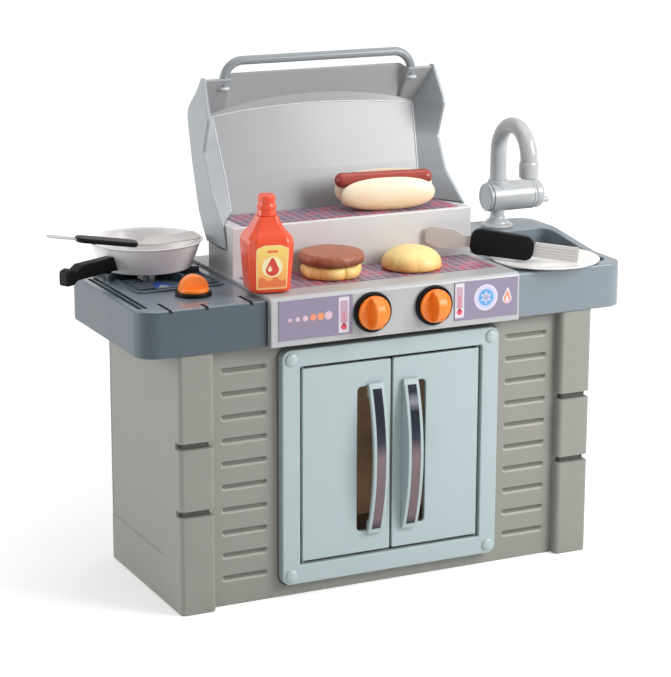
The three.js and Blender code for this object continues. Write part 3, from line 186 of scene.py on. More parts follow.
def inset(points, depth):
    """The outline drawn in by depth: each point moves along the mean of its two sides' normals, and
    further where they differ, so that both sides shift alike. A side of no length borrows the last."""
    side = np.roll(points, -1, 0) - points
    length = np.linalg.norm(side, axis=1)
    normal = np.column_stack([-side[:, 1], side[:, 0]]) / np.maximum(length, 1e-9)[:, None]
    normal = normal[np.maximum.accumulate(np.where(length > 1e-6, np.arange(len(points)), -1))]
    mean = normal + np.roll(normal, 1, 0)
    mean /= np.maximum(np.linalg.norm(mean, axis=1), 1e-9)[:, None]
    return points + mean * depth / np.clip((mean * normal).sum(1), 0.4, 1)[:, None]


def level(points, height):
    """An outline as a ring at one height."""
    return np.column_stack([points, np.full(len(points), height)])


def edge_steps(edge, steps=3):
    """Pairs of (drawn in, risen) along a quarter circle of that radius, from the flat face outwards."""
    turn = np.linspace(0, math.pi / 2, steps + 1)
    return list(zip(edge * (1 - np.sin(turn)), edge * (1 - np.cos(turn))))


def slab(points, low, high, edge=1.2, steps=3, hole=None):
    """A closed slab between two levels. Near either face the outline is drawn in along a quarter
    circle, so that every edge is round. A hole is an outline of as many points."""
    rise = edge_steps(edge, steps)
    rings = [level(inset(points, drawn), low + up) for drawn, up in rise]
    rings += [level(inset(points, drawn), high - up) for drawn, up in rise[::-1]]
    if hole is None:
        return loft(rings)
    rings += [level(inset(hole, -drawn), high - up) for drawn, up in rise]
    rings += [level(inset(hole, -drawn), low + up) for drawn, up in rise[::-1]]
    return loft(rings, wrap=True)


def box(x0, x1, y0, y1, z0, z1, edge=1.2):
    """A block with round edges."""
    return slab(rectangle(x0, x1, y0, y1, edge * 1.05, 4), z0, z1, edge)


def turned_rings(profile, steps, swing=1.0):
    """Rings of (radius, height) points round the upright axis, the radius times a swing."""
    profile = np.asarray(profile, float)
    turn = np.linspace(0, 2 * math.pi, steps, endpoint=False)
    radius = profile[:, :1] * swing
    height = np.broadcast_to(profile[:, 1:], (len(profile), steps))
    return np.stack([radius * np.cos(turn), radius * np.sin(turn), height], -1)


def lathe(profile, steps=64):
    """A profile of (radius, height) points turned once round the upright axis."""
    return loft(turned_rings(profile, steps))


def quarter(wide, tall, steps, low=0.0, power=1.0):
    """Profile points up a quarter ellipse, from its rim to just below its top: wide times the cosine,
    raised to a power, and low plus tall times the sine."""
    return [(wide * math.cos(t) ** power, low + tall * math.sin(t))
            for t in np.linspace(0, math.pi / 2, steps)[:-1]]


def swept(path, section, up, scale=1.0):
    """A closed section of (across, up) points carried along a path. At each point the section stands
    square to the path, with its second direction as near to up as it can be."""
    ahead = np.gradient(path, axis=0)
    ahead /= np.linalg.norm(ahead, axis=1)[:, None]
    side = np.cross(ahead, np.array(up, float))
    side /= np.linalg.norm(side, axis=1)[:, None]
    top = np.cross(side, ahead)
    size = (np.ones(len(path)) * scale)[:, None, None]
    carried = side[:, None] * section[None, :, :1] + top[:, None] * section[None, :, 1:]
    return loft(path[:, None] + carried * size)


print("a slab with four round corners has", len(slab(rectangle(0, 4, 0, 3, 1), 0, 1, 0.2).faces), "faces")

# %% [markdown]
# A finish is a small tree of nodes. Moulded plastic is never one flat colour: its tone drifts a
# little over the surface, and a fine grain from the steel mould breaks up the gloss.
# Object coordinates give every piece the same grain size, because all the objects sit at the origin.
# %% Plastic finishes
def tone(code, strength=1.0):
    """A hex colour as the linear values that a shader works with."""
    parts = np.array([int(code[i:i + 2], 16) for i in (0, 2, 4)]) / 255
    linear = np.where(parts <= 0.04045, parts / 12.92, ((parts + 0.055) / 1.055) ** 2.4)
    return (*(linear * strength), 1.0)


def node(tree, kind, inputs=None, **settings):
    """A shader node with its settings. An input is a value, a socket, or a node's first output."""
    made = tree.nodes.new("ShaderNode" + kind)
    for key, value in settings.items():
        setattr(made, key, value)
    for key, value in (inputs or {}).items():
        if isinstance(value, bpy.types.Node):
            value = value.outputs[0]
        if isinstance(value, bpy.types.NodeSocket):
            tree.links.new(value, made.inputs[key])
        else:
            made.inputs[key].default_value = value
    return made


def noise(tree, place, scale, detail):
    """Soft noise of a scale, in turns per metre, read at a place."""
    return node(tree, "TexNoise", {"Vector": place, "Scale": scale, "Detail": detail})


def mixed(tree, share, low, high):
    """A colour between two others, by a share from 0 to 1."""
    return node(tree, "Mix", {"Factor": share, 6: low, 7: high}, data_type="RGBA").outputs[2]


def ranged(tree, value, to_min, to_max, from_min=0.0, from_max=1.0):
    """A value moved in even steps from one range to another, and held at the ends."""
    return node(tree, "MapRange", {"Value": value, "From Min": from_min, "From Max": from_max,
                                   "To Min": to_min, "To Max": to_max})


def bumped(tree, height, strength, distance):
    """A normal that leans as if a height in millimetres were carved in."""
    return node(tree, "Bump", {"Height": height, "Strength": strength, "Distance": distance * mm})


def height_share(tree, place, low, high):
    """How far up a point lies between two heights in millimetres."""
    return ranged(tree, node(tree, "SeparateXYZ", {0: place}).outputs["Z"], 0.0, 1.0, low * mm, high * mm)


def colour_ramp(tree, share, stops):
    """A colour read off (place, hex colour) stops along a share from 0 to 1."""
    made = node(tree, "ValToRGB", {0: share})
    elements = made.color_ramp.elements
    for end in (0, -1):
        elements[end].position, elements[end].color = stops[end][0], tone(stops[end][1])
    for at, code in stops[1:-1]:
        elements.new(at).color = tone(code)
    return made


def new_finish(name):
    """An empty material, its tree, and the object's own coordinates."""
    material = bpy.data.materials.new(name)
    material.use_nodes = True
    material.node_tree.nodes.clear()
    return material, material.node_tree, node(material.node_tree, "TexCoord").outputs["Object"]


def shaded(material, inputs, kind="BsdfPrincipled"):
    """The material, closed by a shader that takes these inputs."""
    tree = material.node_tree
    node(tree, "OutputMaterial", {"Surface": node(tree, kind, inputs)})
    return material


def plastic(name, code, roughness=0.35, grain=0.06, drift=0.05, scale=900.0, coat=0.0, shine=0.5):
    """Moulded plastic: the tone drifts by a soft noise, and a fine noise roughens the face."""
    material, tree, place = new_finish(name)
    wide, fine = noise(tree, place, 14.0, 3.0), noise(tree, place, scale, 2.0)
    return shaded(material, {
        "Base Color": mixed(tree, wide, tone(code, 1 - drift), tone(code, 1 + drift)),
        "Roughness": ranged(tree, wide, roughness - 0.05, roughness + 0.05),
        "Normal": bumped(tree, fine, grain, 0.4),
        "Coat Weight": coat, "Coat Roughness": 0.12, "Specular IOR Level": shine})


def brushed(name, code, roughness, pitch, streak):
    """Brushed plastic: noise squeezed in height gives fine lines that run level round the piece."""
    material, tree, place = new_finish(name)
    lines = noise(tree, node(tree, "VectorMath", {0: place, 1: pitch}, operation="MULTIPLY"), 1.0, 3.0)
    return shaded(material, {"Base Color": mixed(tree, lines, tone(code, 1 - streak), tone(code, 1 + streak)),
                             "Normal": bumped(tree, lines, 0.35, 0.5), "Roughness": roughness,
                             "Coat Weight": 0.2})


# Besides the plain stone, three tones are painted light: a darker one is painted shade on the groove floors,
# a lighter one a painted highlight on the louvres' slopes, another darker one painted shade on their floors.
stone, groove_shade_stone, lip_highlight_stone, shaded_stone = (
    plastic(f"{name} plastic", code, roughness, grain=0.14, drift=0.04, scale=700)
    for name, code, roughness in (("Stone grey", "908f88", 0.55), ("Groove shade stone", "605f59", 0.6),
                                  ("Lip highlight stone", "acaba3", 0.5), ("Shaded stone", "75746d", 0.6)))
slate = plastic("Slate plastic", "42515b", 0.34, grain=0.03, drift=0.04, coat=0.12)
# A lighter copy of the slate: painted light for the burner tray's top.
top_light_slate = plastic("Top light slate plastic", "6c7a86", 0.3, grain=0.03, drift=0.1, coat=0.55)
# The sink tray's slate is a lighter copy of the burner tray's: painted light, as the lamp falls more strongly
# on the sink.
sink_light_slate = plastic("Sink light slate plastic", "7b868e", 0.34, grain=0.03, drift=0.04, coat=0.12)
silver = plastic("Silver grey plastic", "b3b4b5", 0.34, coat=0.1)
# A lighter copy of the silver: painted light for the riser's front, which faces the lamp.
riser_light_silver = plastic("Riser light silver plastic", "d0cfd0", 0.34, coat=0.1)
lid_silver = plastic("Lid plastic", "9a9c9e", 0.34, coat=0.15)
door_blue = plastic("Door plastic", "adbcbe", 0.36, drift=0.03)
pin_grey = plastic("Pin plastic", "80868a", 0.45)
black = plastic("Black plastic", "090909", 0.42, drift=0.2, shine=0.14)
orange = plastic("Orange plastic", "fe861c", 0.33, drift=0.04, coat=0.15)
faucet_silver = plastic("Faucet plastic", "b2b4b6", 0.26, coat=0.25)
pan_grey = brushed("Pan plastic", "f3f0ef", 0.32, (30, 30, 480), 0.14)
utensil_grey = plastic("Utensil plastic", "c6c2bf", 0.35, coat=0.1)
plate_white = plastic("Plate plastic", "eeedea", 0.25, drift=0.01, coat=0.3)
sauce_red = plastic("Sauce plastic", "ec4a1c", 0.26, drift=0.06, coat=0.3)
print(len(bpy.data.materials), "finishes")

# %% [markdown]
# Each piece is made once, by name. The doubles at the poles are merged, the faces are turned to
# point outwards, and edges sharper than a set angle stay crisp while the rest is shaded as round.
# A weighted normal keeps the large flat faces flat beside their round edges.
# %% Making a piece
def mesh_of(name, shape):
    """The shape as a mesh in metres, with its doubles merged and its faces turned outwards."""
    mesh = bpy.data.meshes.new(name)
    mesh.from_pydata((shape.points * mm).tolist(), [], shape.faces)
    mesh.polygons.foreach_set("material_index", shape.marks)
    work = bmesh.new()
    work.from_mesh(mesh)
    bmesh.ops.remove_doubles(work, verts=work.verts, dist=1e-6)
    bmesh.ops.dissolve_degenerate(work, edges=work.edges, dist=1e-7)
    bmesh.ops.recalc_face_normals(work, faces=work.faces)
    work.to_mesh(mesh)
    work.free()
    return mesh


def placed(name, data):
    """An object for some data, linked into the scene."""
    made = bpy.data.objects.new(name, data)
    scene.collection.objects.link(made)
    return made


def piece(name, shape, body, finishes, replaces=None, sharp=38):
    """A mesh object from a shape, on its body, standing for the node that it replaces."""
    mesh = mesh_of(name, shape)
    mesh.shade_smooth()
    mesh.set_sharp_from_angle(angle=math.radians(sharp))
    for finish in finishes if isinstance(finishes, list) else [finishes]:
        mesh.materials.append(finish)
    made = placed(name, mesh)
    made.modifiers.new("Even shading", "WEIGHTED_NORMAL").keep_sharp = True
    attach(made, body)
    if replaces:
        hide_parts(replaces)
    print(f"{name}: {len(mesh.polygons)} faces")


def finish_node(name, finish):
    """A node that keeps its own mesh takes a finish in all its slots."""
    held = frame["nodes"][name]
    if not held.material_slots:
        held.data.materials.append(finish)
    for slot in held.material_slots:
        slot.material = finish


def carved(shape, tool):
    """The shape with the tool taken out of it, as a new closed shape."""
    kept, taken = (placed("carving", mesh_of("carving", part)) for part in (shape, tool))
    cut = kept.modifiers.new("Cut", "BOOLEAN")
    cut.operation, cut.solver, cut.object = "DIFFERENCE", "EXACT", taken
    result = kept.evaluated_get(bpy.context.evaluated_depsgraph_get()).to_mesh()
    points = np.zeros(len(result.vertices) * 3)
    result.vertices.foreach_get("co", points)
    faces = [list(face.vertices) for face in result.polygons]
    for item in (kept, taken):
        bpy.data.objects.remove(item, do_unlink=True)
    return Shape(points.reshape(-1, 3) / mm, faces)


print("a piece is ready to be made")

# %% [markdown]
# The side panels wrap round the front corners as pillars. Two grooves make each pillar look like
# stacked stones, and a shallow field fills the side. All of that is relief on one wrapped sheet:
# we walk along the outline in plan, rise through the heights, and push the sheet in where a groove is.
# The grid has close lines only where the relief changes, so the flat faces cost little.
# The groove floors take a darker stone, painted shade where the grooves would lie in shadow.
# %% Relief on a wrapped sheet
def soft_step(value, edge, width):
    """From 0 to 1 across an edge, with the even slope of a smooth step."""
    t = np.clip((value - edge) / width + 0.5, 0, 1)
    return t * t * (3 - 2 * t)


def band(value, low, high, width):
    """1 between two edges and 0 outside them, with soft edges."""
    return soft_step(value, low, width) * (1 - soft_step(value, high, width))


def spaced(lines, low, high):
    """The lines between low and high in order, with both ends, and none closer than a hair."""
    inner = np.sort(lines[(lines > low + 0.1) & (lines < high - 0.1)])
    return np.concatenate([[low], inner[np.append(True, np.diff(inner) > 0.05)], [high]])


def grid_lines(low, high, edges, width, pitch):
    """Grid lines from low to high: seven across each edge of the relief, and one each pitch."""
    close = np.add.outer(np.asarray(edges), np.linspace(-0.6, 0.6, 7) * width).ravel()
    even = np.linspace(low, high, max(2, int((high - low) / pitch) + 1))
    return spaced(np.concatenate([close, even]), low, high)


def length_along(points):
    """How far each point lies along its line."""
    return np.concatenate([[0], np.cumsum(np.linalg.norm(np.diff(points, axis=0), axis=1))])


side_low, side_high, _ = room("right_side_panel")
pillar_inner, cabinet_half, cabinet_top = side_low.x, side_high.x, side_high.z
cabinet_front, cabinet_back = side_low.y, side_high.y
panel_low, panel_high, _ = room("front_panel")
panel_face, panel_back, panel_half = panel_low.y, panel_high.y, panel_high.x
pillar_radius, rear_radius = 8, 20
groove_heights, groove_half, groove_depth, groove_start = (170, 283), 4.6, 9.5, 8
field_inset, field_low, field_high, field_depth = 80, 80, 374, 3
panel_wall, deepest, soft = 10, 9, 2.8

plan = outline([(pillar_inner, panel_back), (pillar_inner, cabinet_front, pillar_radius),
                (cabinet_half, cabinet_front, pillar_radius), (cabinet_half, cabinet_back, rear_radius),
                (pillar_inner + 0.1, cabinet_back)], steps=10)[10:-10]
walked = length_along(plan)
off_side = np.abs(plan[:, 1] - (cabinet_front + pillar_radius)) + 1e4 * (plan[:, 0] < cabinet_half - 0.1)
side_start = walked[np.argmin(off_side)]
groove_end = side_start + panel_face - cabinet_front - pillar_radius
field_start = side_start + field_inset - pillar_radius
field_end = side_start + (cabinet_back - rear_radius) - (cabinet_front + pillar_radius) + 10
along = grid_lines(0, walked[-1], [groove_start, groove_end, field_start, field_end], soft, 60)
along = spaced(np.concatenate([along, walked]), 0, walked[-1])
groove_edges = [z + side * groove_half for z in groove_heights for side in (-1, 1)]
rise = grid_lines(0, cabinet_top, groove_edges + [field_low, field_high], soft, 60)
foot = np.array([0.0, 0.4, 1.2, 2.4])
rise = np.unique(np.concatenate([rise, foot, cabinet_top - foot]))

path = np.column_stack([np.interp(along, walked, plan[:, axis]) for axis in (0, 1)])
ahead = np.gradient(path, along, axis=0)
ahead /= np.linalg.norm(ahead, axis=1)[:, None]
inward = np.column_stack([-ahead[:, 1], ahead[:, 0]])
s, z = along[:, None], rise[None, :]
grooves = sum(band(z, h - groove_half, h + groove_half, soft) for h in groove_heights)
push = groove_depth * grooves * (1 - soft_step(s, groove_end, soft)) * soft_step(s, groove_start, soft)
push = push + field_depth * band(s, field_start, field_end, soft) * band(z, field_low, field_high, soft)
lip = np.clip(1 - np.minimum(rise, cabinet_top - rise) / 2.4, 0, 1)
push = np.minimum(push + 1.2 * (lip**2)[None, :], deepest)


def sheet_face(depth):
    """Points of the sheet at a depth below its outer face: the path pushed inwards, at each height."""
    flat = path[:, None] + inward[:, None] * (depth + 0 * z)[..., None]
    return np.concatenate([flat, np.broadcast_to(z, flat.shape[:2])[..., None]], -1)


side = loft(np.concatenate([sheet_face(push), sheet_face(panel_wall)[:, ::-1]], 1))
# Faces deep in a groove take the second, darker stone: painted shade.
in_groove = (push[:-1, :-1] + push[1:, 1:]) / 2 > groove_depth * 0.45
side.marks = np.pad(in_groove.astype(int), ((0, 0), (0, len(rise) + 1))).ravel().tolist() + [0, 0]
piece("right_side_moulding", side, "base", [stone, groove_shade_stone], "right_side_panel")
piece("left_side_moulding", side.mirrored(), "base", [stone, groove_shade_stone], "left_side_panel")

# %% [markdown]
# The front panel carries ten pressed louvres on either side of the doors. Each is deeper at its top
# edge, so it throws a shadow there and catches the light on its sloping floor. The slopes take a
# lighter finish, a painted highlight, and the floors a darker one, painted shade.
# A pocket a little wider than the door frame leaves the dark line that runs round the frame.
# %% Front panel
frame_low, frame_high, frame_middle = room("door_frame")
frame_half, frame_radius = frame_high.x, 15
doorway_half, doorway_low, doorway_high = 171, 51, 395.6
louvre_start, louvre_end = frame_half + 21, frame_half + 101
louvre_heights = np.linspace(46, cabinet_top - 37.8, 10)
louvre_half, louvre_corner, louvre_depth = 5, 4, 5
pocket_room, pocket_depth, crisp = 3.2, 5, 1.6


def rounded_distance(a, b, half_a, half_b, radius):
    """How far a point lies outside a rectangle with round corners; negative inside."""
    u, v = np.abs(a) - (half_a - radius), np.abs(b) - (half_b - radius)
    return np.hypot(np.maximum(u, 0), np.maximum(v, 0)) + np.minimum(np.maximum(u, v), 0) - radius


def panel_relief(x, z):
    """Depth of the panel's face: louvres with a steep upper edge and a long ramp below, which
    catches the light, and the frame's pocket."""
    depth = np.zeros(np.broadcast(x, z).shape)
    for height in louvre_heights:
        away = rounded_distance(np.abs(x) - (louvre_start + louvre_end) / 2, z - height,
                                (louvre_end - louvre_start) / 2, louvre_half, louvre_corner)
        slope = np.clip((z - height) / (2 * louvre_half) + 0.5, 0, 1)
        ramp = crisp * (1 + 3.2 * (1 - slope))
        depth += louvre_depth * (1 - soft_step(away, crisp / 2 - ramp / 2, ramp))
    away = rounded_distance(x, z - frame_middle.z, frame_half + pocket_room,
                            (frame_high.z - frame_low.z) / 2 + pocket_room, frame_radius + pocket_room)
    return depth + pocket_depth * (1 - soft_step(away, 0, crisp))


def relief_block(x0, x1, z0, z1):
    """A part of the front panel between two places across and two heights, with its face in relief."""
    corners = [side * (frame_half + pocket_room) for side in (-1, 1)]
    ends = [side * place for side in (-1, 1) for place in (louvre_start, louvre_end)]
    edges = np.concatenate([louvre_heights - louvre_half, louvre_heights + louvre_half])
    floors = np.add.outer(louvre_heights, np.linspace(-0.7, 0.7, 8) * louvre_half).ravel()
    turns = [frame_low.z + np.arange(-4, 18), frame_high.z + np.arange(-17, 5)]
    zs = spaced(np.concatenate([grid_lines(z0, z1, edges, crisp, 30), floors, *turns]), z0, z1)
    close = [side * (frame_half + np.arange(-16, 5)) for side in (-1, 1)]
    close.append(np.add.outer(ends, np.arange(-4, 5)).ravel())
    xs = spaced(np.concatenate([grid_lines(x0, x1, corners + ends, crisp, 40), *close]), x0, x1)
    depth = panel_relief(xs[:, None], zs[None, :])
    depths = np.concatenate([panel_face + depth, np.full((len(xs), 2), panel_back)], 1)
    heights = np.append(zs, [z1, z0])
    block = loft(np.stack([xs[:, None] + 0 * depths, depths, heights[None, :] + 0 * depths], -1))
    middle = (depth[:-1, :-1] + depth[1:, 1:]) / 2
    # Faces that rise out of a louvre take the lighter stone, a painted highlight; faces on its floor take the
    # darker one, painted shade.
    rising = depth[:-1, 1:] - depth[:-1, :-1] > 0.05
    floor = middle > 0.8 * louvre_depth
    marks = np.where(floor, 2, (rising & (middle < 0.8 * louvre_depth)).astype(int))
    marks = marks * (np.abs(xs[:-1, None]) > louvre_start - 2)
    block.marks = np.pad(marks, ((0, 0), (0, 3))).ravel().tolist() + [0, 0]
    return block


front_panel = joined(*(relief_block(*edges) for edges in (
    (-panel_half, -doorway_half, 0, cabinet_top), (doorway_half, panel_half, 0, cabinet_top),
    (-doorway_half, doorway_half, 0, doorway_low), (-doorway_half, doorway_half, doorway_high, cabinet_top))))
piece("front_moulding", front_panel, "base", [stone, lip_highlight_stone, shaded_stone], "front_panel")
finish_node("floor_panel", stone)

# %% [markdown]
# Through the slots behind the handles we look into the cabinet, where the back wall is dull brown.
# The same node shows outside too, so its finish changes with the depth of the point.
# A faint glow on the inside stands for the daylight that leaks in round the doors and the floor.
# %% Back panel
def two_sided(name, outside, inside, depth, leaked_light):
    """Plastic that is one tone behind a depth and another in front of it, where it glows low down."""
    material, tree, place = new_finish(name)
    split = node(tree, "SeparateXYZ", {0: place})
    front = node(tree, "Math", {0: split.outputs["Y"], 1: depth * mm}, operation="LESS_THAN")
    brown = mixed(tree, noise(tree, place, 11.0, 4.0), tone(inside, 0.3), tone(inside, 1.5))
    colour = mixed(tree, front, tone(outside), brown)
    fade = ranged(tree, split.outputs["Z"], leaked_light, 0.02, 0.25, 0.3)
    glow = node(tree, "Math", {0: front, 1: fade}, operation="MULTIPLY")
    return shaded(material, {"Base Color": colour, "Emission Color": colour, "Emission Strength": glow,
                             "Roughness": 0.55})


back_face = room("back_panel")[0].y
finish_node("back_panel", two_sided("Back panel plastic", "9a9991", "75604a", back_face + 2, 0.5))
print("the back panel's finish turns brown in front of", round(back_face + 2, 1), "mm")

# %% [markdown]
# The door frame is a slab with one large hole, and each door is a slab with one slot.
# Both come from two outlines with as many points: the surface goes round the outside, over the
# face, down through the hole and back, so that it closes on itself like a ring.
# %% Door frame, bolts and doors
frame_back = panel_face + pocket_depth - 0.4
door_frame = slab(rectangle(-frame_half, frame_half, frame_low.z, frame_high.z, frame_radius, 10),
                  frame_low.y, frame_back, 2.2, 4, rectangle(-167.4, 167.4, 54.6, 392, 2.5, 10)).facing()
piece("door_surround", door_frame, "base", door_blue, "door_frame")

bolt_height, bolt_radius = 5, 11
bolt_profile = [(0, -8), (3, -8), (3, -0.5), (bolt_radius, -0.5)]
bolt_profile += quarter(bolt_radius, bolt_height, 9) + [(0, bolt_height)]
bolt_blue = plastic("Bolt plastic", "b0bec0", 0.34, drift=0.03, coat=0.15)
for side in ("left", "right"):
    for end in ("lower", "upper"):
        name = f"bolt_{end}_{side}"
        spot = room(name)[2]
        bolt = lathe(bolt_profile, 40).turned(90, "X").moved(spot.x, frame_low.y, spot.z)
        piece(name + "_head", bolt, "base", bolt_blue, name)
        finish_node(f"{side}_door_{end}_pin", pin_grey)

door_low, door_high, _ = room("right_door")
door_gap, door_inset = 0.9, 2.6
door = slab(rectangle(door_low.x + door_gap, door_high.x - door_inset, door_low.z + door_inset,
                      door_high.z - door_inset, 2.5, 8),
            door_low.y, door_high.y, 1.6, hole=rectangle(20, 63, 97, 345, 7, 8)).facing()
piece("right_door_leaf", door, "right_door", door_blue, "right_door")
piece("left_door_leaf", door.mirrored(), "left_door", door_blue, "left_door")

# %% [markdown]
# A handle is a bow: an arc over a chord that stands off the door, with a thin web down its inner
# side. We draw it in side view and give it its width as a slab. The shiny strip follows the same arc.
# %% Door handles
handle_low, handle_high, handle_middle = room("right_door_handle")
handle_foot, handle_lift, bar_thickness, web_thickness = handle_high.y, 6, 7, 3
handle_chord = handle_foot - handle_lift
handle_bow, handle_half = handle_chord - handle_low.y, (handle_high.z - handle_low.z) / 2
arc_radius = (handle_half**2 + handle_bow**2) / (2 * handle_bow)
arc_centre = handle_low.y + arc_radius


def bow_reach(radius):
    """The angle up to which an arc about the handle's centre runs before it meets the chord."""
    return math.acos((arc_centre - handle_chord) / radius)


def arc_points(radius, reach, steps=36):
    """Points (y, z) of an arc about the handle's centre, from one angle below it to the same above."""
    turn = np.linspace(-reach, reach, steps)
    return np.column_stack([arc_centre - radius * np.cos(turn), handle_middle.z + radius * np.sin(turn)])


outer_arc, inner_arc = (arc_points(radius, bow_reach(radius))
                        for radius in (arc_radius, arc_radius - bar_thickness))
lower_out, lower_in, upper_in, upper_out = (
    (handle_foot, arc[end, 1]) for arc, end in (
        (outer_arc, 0), (inner_arc, 0), (inner_arc, -1), (outer_arc, -1)))
bow = np.vstack([outer_arc[::-1], lower_out, lower_in, inner_arc, upper_in, upper_out])
web = np.vstack([outer_arc[::-1], lower_out, upper_out])
bow_low, bow_high = handle_low.x + 1, handle_high.x - 1
handle = joined(slab(bow, bow_low, bow_high, 1.8, 4).across(),
                slab(inset(web, 0.6), bow_low + 0.6, bow_low + web_thickness, 0.8).across())
strip_low, strip_high, _ = room("right_handle_strip")
strip_share, strip_room, strip_half = 0.93, 2.6, 0.5
strip_front, strip_rear = (arc_points(arc_radius + out, bow_reach(arc_radius) * strip_share, 60)
                           for out in (strip_half, -strip_half))
strip = slab(np.vstack([strip_front[::-1], strip_rear]), strip_low.x - strip_room,
             strip_high.x + strip_room, 0.2, 2).across()


def mirror_film(name, bands):
    """Mirror film: dark glossy metal, a little uneven as it is pressed on. Its colour is painted reflection:
    bands of tone up the handle. The extra bands are (place up the handle, hex colour) pairs."""
    material, tree, place = new_finish(name)
    share = height_share(tree, place, handle_low.z, handle_high.z)
    # These stops are painted reflections: dark navy and mauve bands as the film would mirror them.
    stops = [(0.04, "3a3337"), (0.1, "6f5f63"), (0.52, "6f5f63"), (0.62, "262a38"), *bands, (1.0, "1b1d28")]
    return shaded(material, {"Base Color": colour_ramp(tree, share, stops), "Metallic": 0.6,
                             "Normal": bumped(tree, noise(tree, place, 30.0, 1.0), 0.15, 1),
                             "Roughness": 0.18})


films = {"left": mirror_film("Left mirror film", []),
         # The right film's pale grey band is a painted highlight.
         "right": mirror_film("Right mirror film", [(0.8, "20232f"), (0.86, "8d9096"), (0.92, "20232f")])}
for side, bar, film in (("right", handle, strip), ("left", handle.mirrored(), strip.mirrored())):
    carrier = f"{side}_door"
    piece(f"{side}_handle_bow", bar, carrier, door_blue, f"{side}_door_handle")
    piece(f"{side}_handle_film", film, carrier, films[side], f"{side}_handle_strip")

# %% [markdown]
# The grill console is a deck with a riser on it, both hollow underneath. We draw each as a bent
# sheet in side view, with a large radius at the deck's front edge, and close its ends with cheeks.
# %% Grill console
console_low, console_high, _ = room("grill_console")
deck_top = room("deck_label")[0].z - 0.3
riser_half, riser_front, riser_back = 222, -17, 85
wall = 4


def bent_sheet(y0, y1, z0, z1, front_radius, half):
    """A hollow cover: front, top and back in one sheet of even wall, with a cheek at either end."""
    r = 2
    over = [(y1, z0, 1), (y1, z1, r), (y0, z1, front_radius)]
    under = [(y0 + wall, z0, 1), (y0 + wall, z1 - wall, r), (y1 - wall, z1 - wall, r), (y1 - wall, z0, 1)]
    sheet = slab(outline([(y0, z0, 1)] + under + over), -half, half, 0.9).across()
    cheek = slab(inset(outline([(y0, z0, 1)] + over), 0.05), half - wall, half - 0.02, 1).across()
    return joined(sheet, cheek, cheek.mirrored())


# The riser takes the lighter silver: painted light.
console = joined(bent_sheet(console_low.y, console_high.y, console_low.z, deck_top, 8, console_high.x),
                 bent_sheet(riser_front, riser_back, deck_top - 1, console_high.z, 3, riser_half).marked(1))
piece("console_moulding", console, "base", [silver, riser_light_silver], "grill_console")

# %% [markdown]
# The trays have one large radius at each outer corner. The burner tray gets its hollow underside
# from the same rings that make its sides, and its channel and notches are carved afterwards.
# Its upper face takes a lighter, glossier slate; the lighter tone is painted light on the top.
# %% Burner tray
tray_low, tray_high, _ = room("burner_tray")
tray_top, tray_back, burner_face = 509, 168, 506.8
corner_large, corner_small = 35, 5
recess = (-389.8, -251.3, -33, 143)


def tray_outline(x0, x1, y0, y1, sides=1):
    """A tray's outline on the right side: small corners at the console, large ones outside."""
    return outline([(x0, y0, corner_small), (x1, y0, corner_large), (x1, y1, corner_large),
                    (x0, y1, corner_small)], 10, sides)


def recess_outline(wider, radius):
    """The outline of the burner's recess, drawn wider by a measure on every side."""
    x0, x1, y0, y1 = recess
    return rectangle(x0 - wider, x1 + wider, y0 - wider, y1 + wider, radius, 8)


def block_at(x0, x1, y0, y1, low, high, edge):
    """A block between two places across and two levels above the tray's top."""
    return box(x0, x1, y0, y1, tray_top + low, tray_top + high, edge)


plan = tray_outline(-tray_high.x, -tray_low.x, tray_low.y, tray_back)
inside, low = inset(plan, wall), tray_low.z
rings = [level(inside, tray_top - 2 * wall), level(inside, low + 0.6), level(inset(plan, wall - 0.6), low),
         level(inset(plan, 1.2), low), level(inset(plan, 0.35), low + 0.35), level(plan, low + 1.2)]
rings += [level(inset(plan, drawn), tray_top - up) for drawn, up in edge_steps(3.5, 5)[::-1]]
cuts = [slab(rectangle(tray_low.x + start, tray_low.x + end, -137, 97, 3.6, 8), tray_top - 4,
             tray_top + 5, 0.6) for start, end in ((8, 15.6), (17.4, 25))]
cuts += [block_at(tray_low.x + at - 3, tray_low.x + at + 3, tray_low.y - 5, tray_low.y + length, -5, 5, 0.6)
         for at, length in ((50, 54), (111, 24), (187, 50))]
cuts.append(slab(recess_outline(0, 7), burner_face, tray_top + 5, 0.8))
tray = carved(loft(rings).mirrored(), joined(*cuts))
# Faces on the tray's top take the lighter slate: painted light.
tray.marks = [int(min(tray.points[i][2] for i in face) > tray_top - 2.3) for face in tray.faces]

pan_low, pan_high, pan_middle = room("pan")
grate = slab(recess_outline(8, 12), tray_top - 1, tray_top + 3.4, 1.5, hole=recess_outline(0.4, 7))
bars = [box(22, 88, -3, 3, tray_top - 2, pan_low.z - 0.3, 1.6).turned((i + 0.5) * 45)
        .moved(pan_middle.x, pan_middle.y) for i in range(8)]
rib_rows = [(x0, x1, y) for x0, x1 in ((-388, -357), (-283, -252)) for y in np.arange(-24, 60, 11)]
ribs = [block_at(x0, x1, y - 2, y + 2, -3, 3, 1.2) for x0, x1, y in rib_rows + [(-388, -252, -24)]]
piece("burner_moulding", joined(tray, grate, *bars, *ribs), "base", [slate, top_light_slate],
      "burner_tray")

# %% [markdown]
# The sink tray is one surface of rings again. They start under the basin, come up inside the
# walls, go round the foot, up the outside, over the rim and down into the basin.
# The top rises towards the faucet, so the height of a ring there follows its depth.
# %% Sink tray
sink_low, sink_high, _ = room("sink_tray")
slope_front, slope_back = -70, 65
basin_floor, basin_radius, basin_lean = 467, 24, 1.5
basin_side, basin_front, basin_back = 17, -140, 71


def sloped(points, drop):
    """A ring at a drop below the tray's top, which is level in front, then rises evenly to the back."""
    share = np.clip((points[:, 1] - slope_front) / (slope_back - slope_front), 0, 1)
    share = share * 0.9 + 0.1 * share * share * (3 - 2 * share)
    return np.column_stack([points, tray_top + (sink_high.z - tray_top) * share - drop])


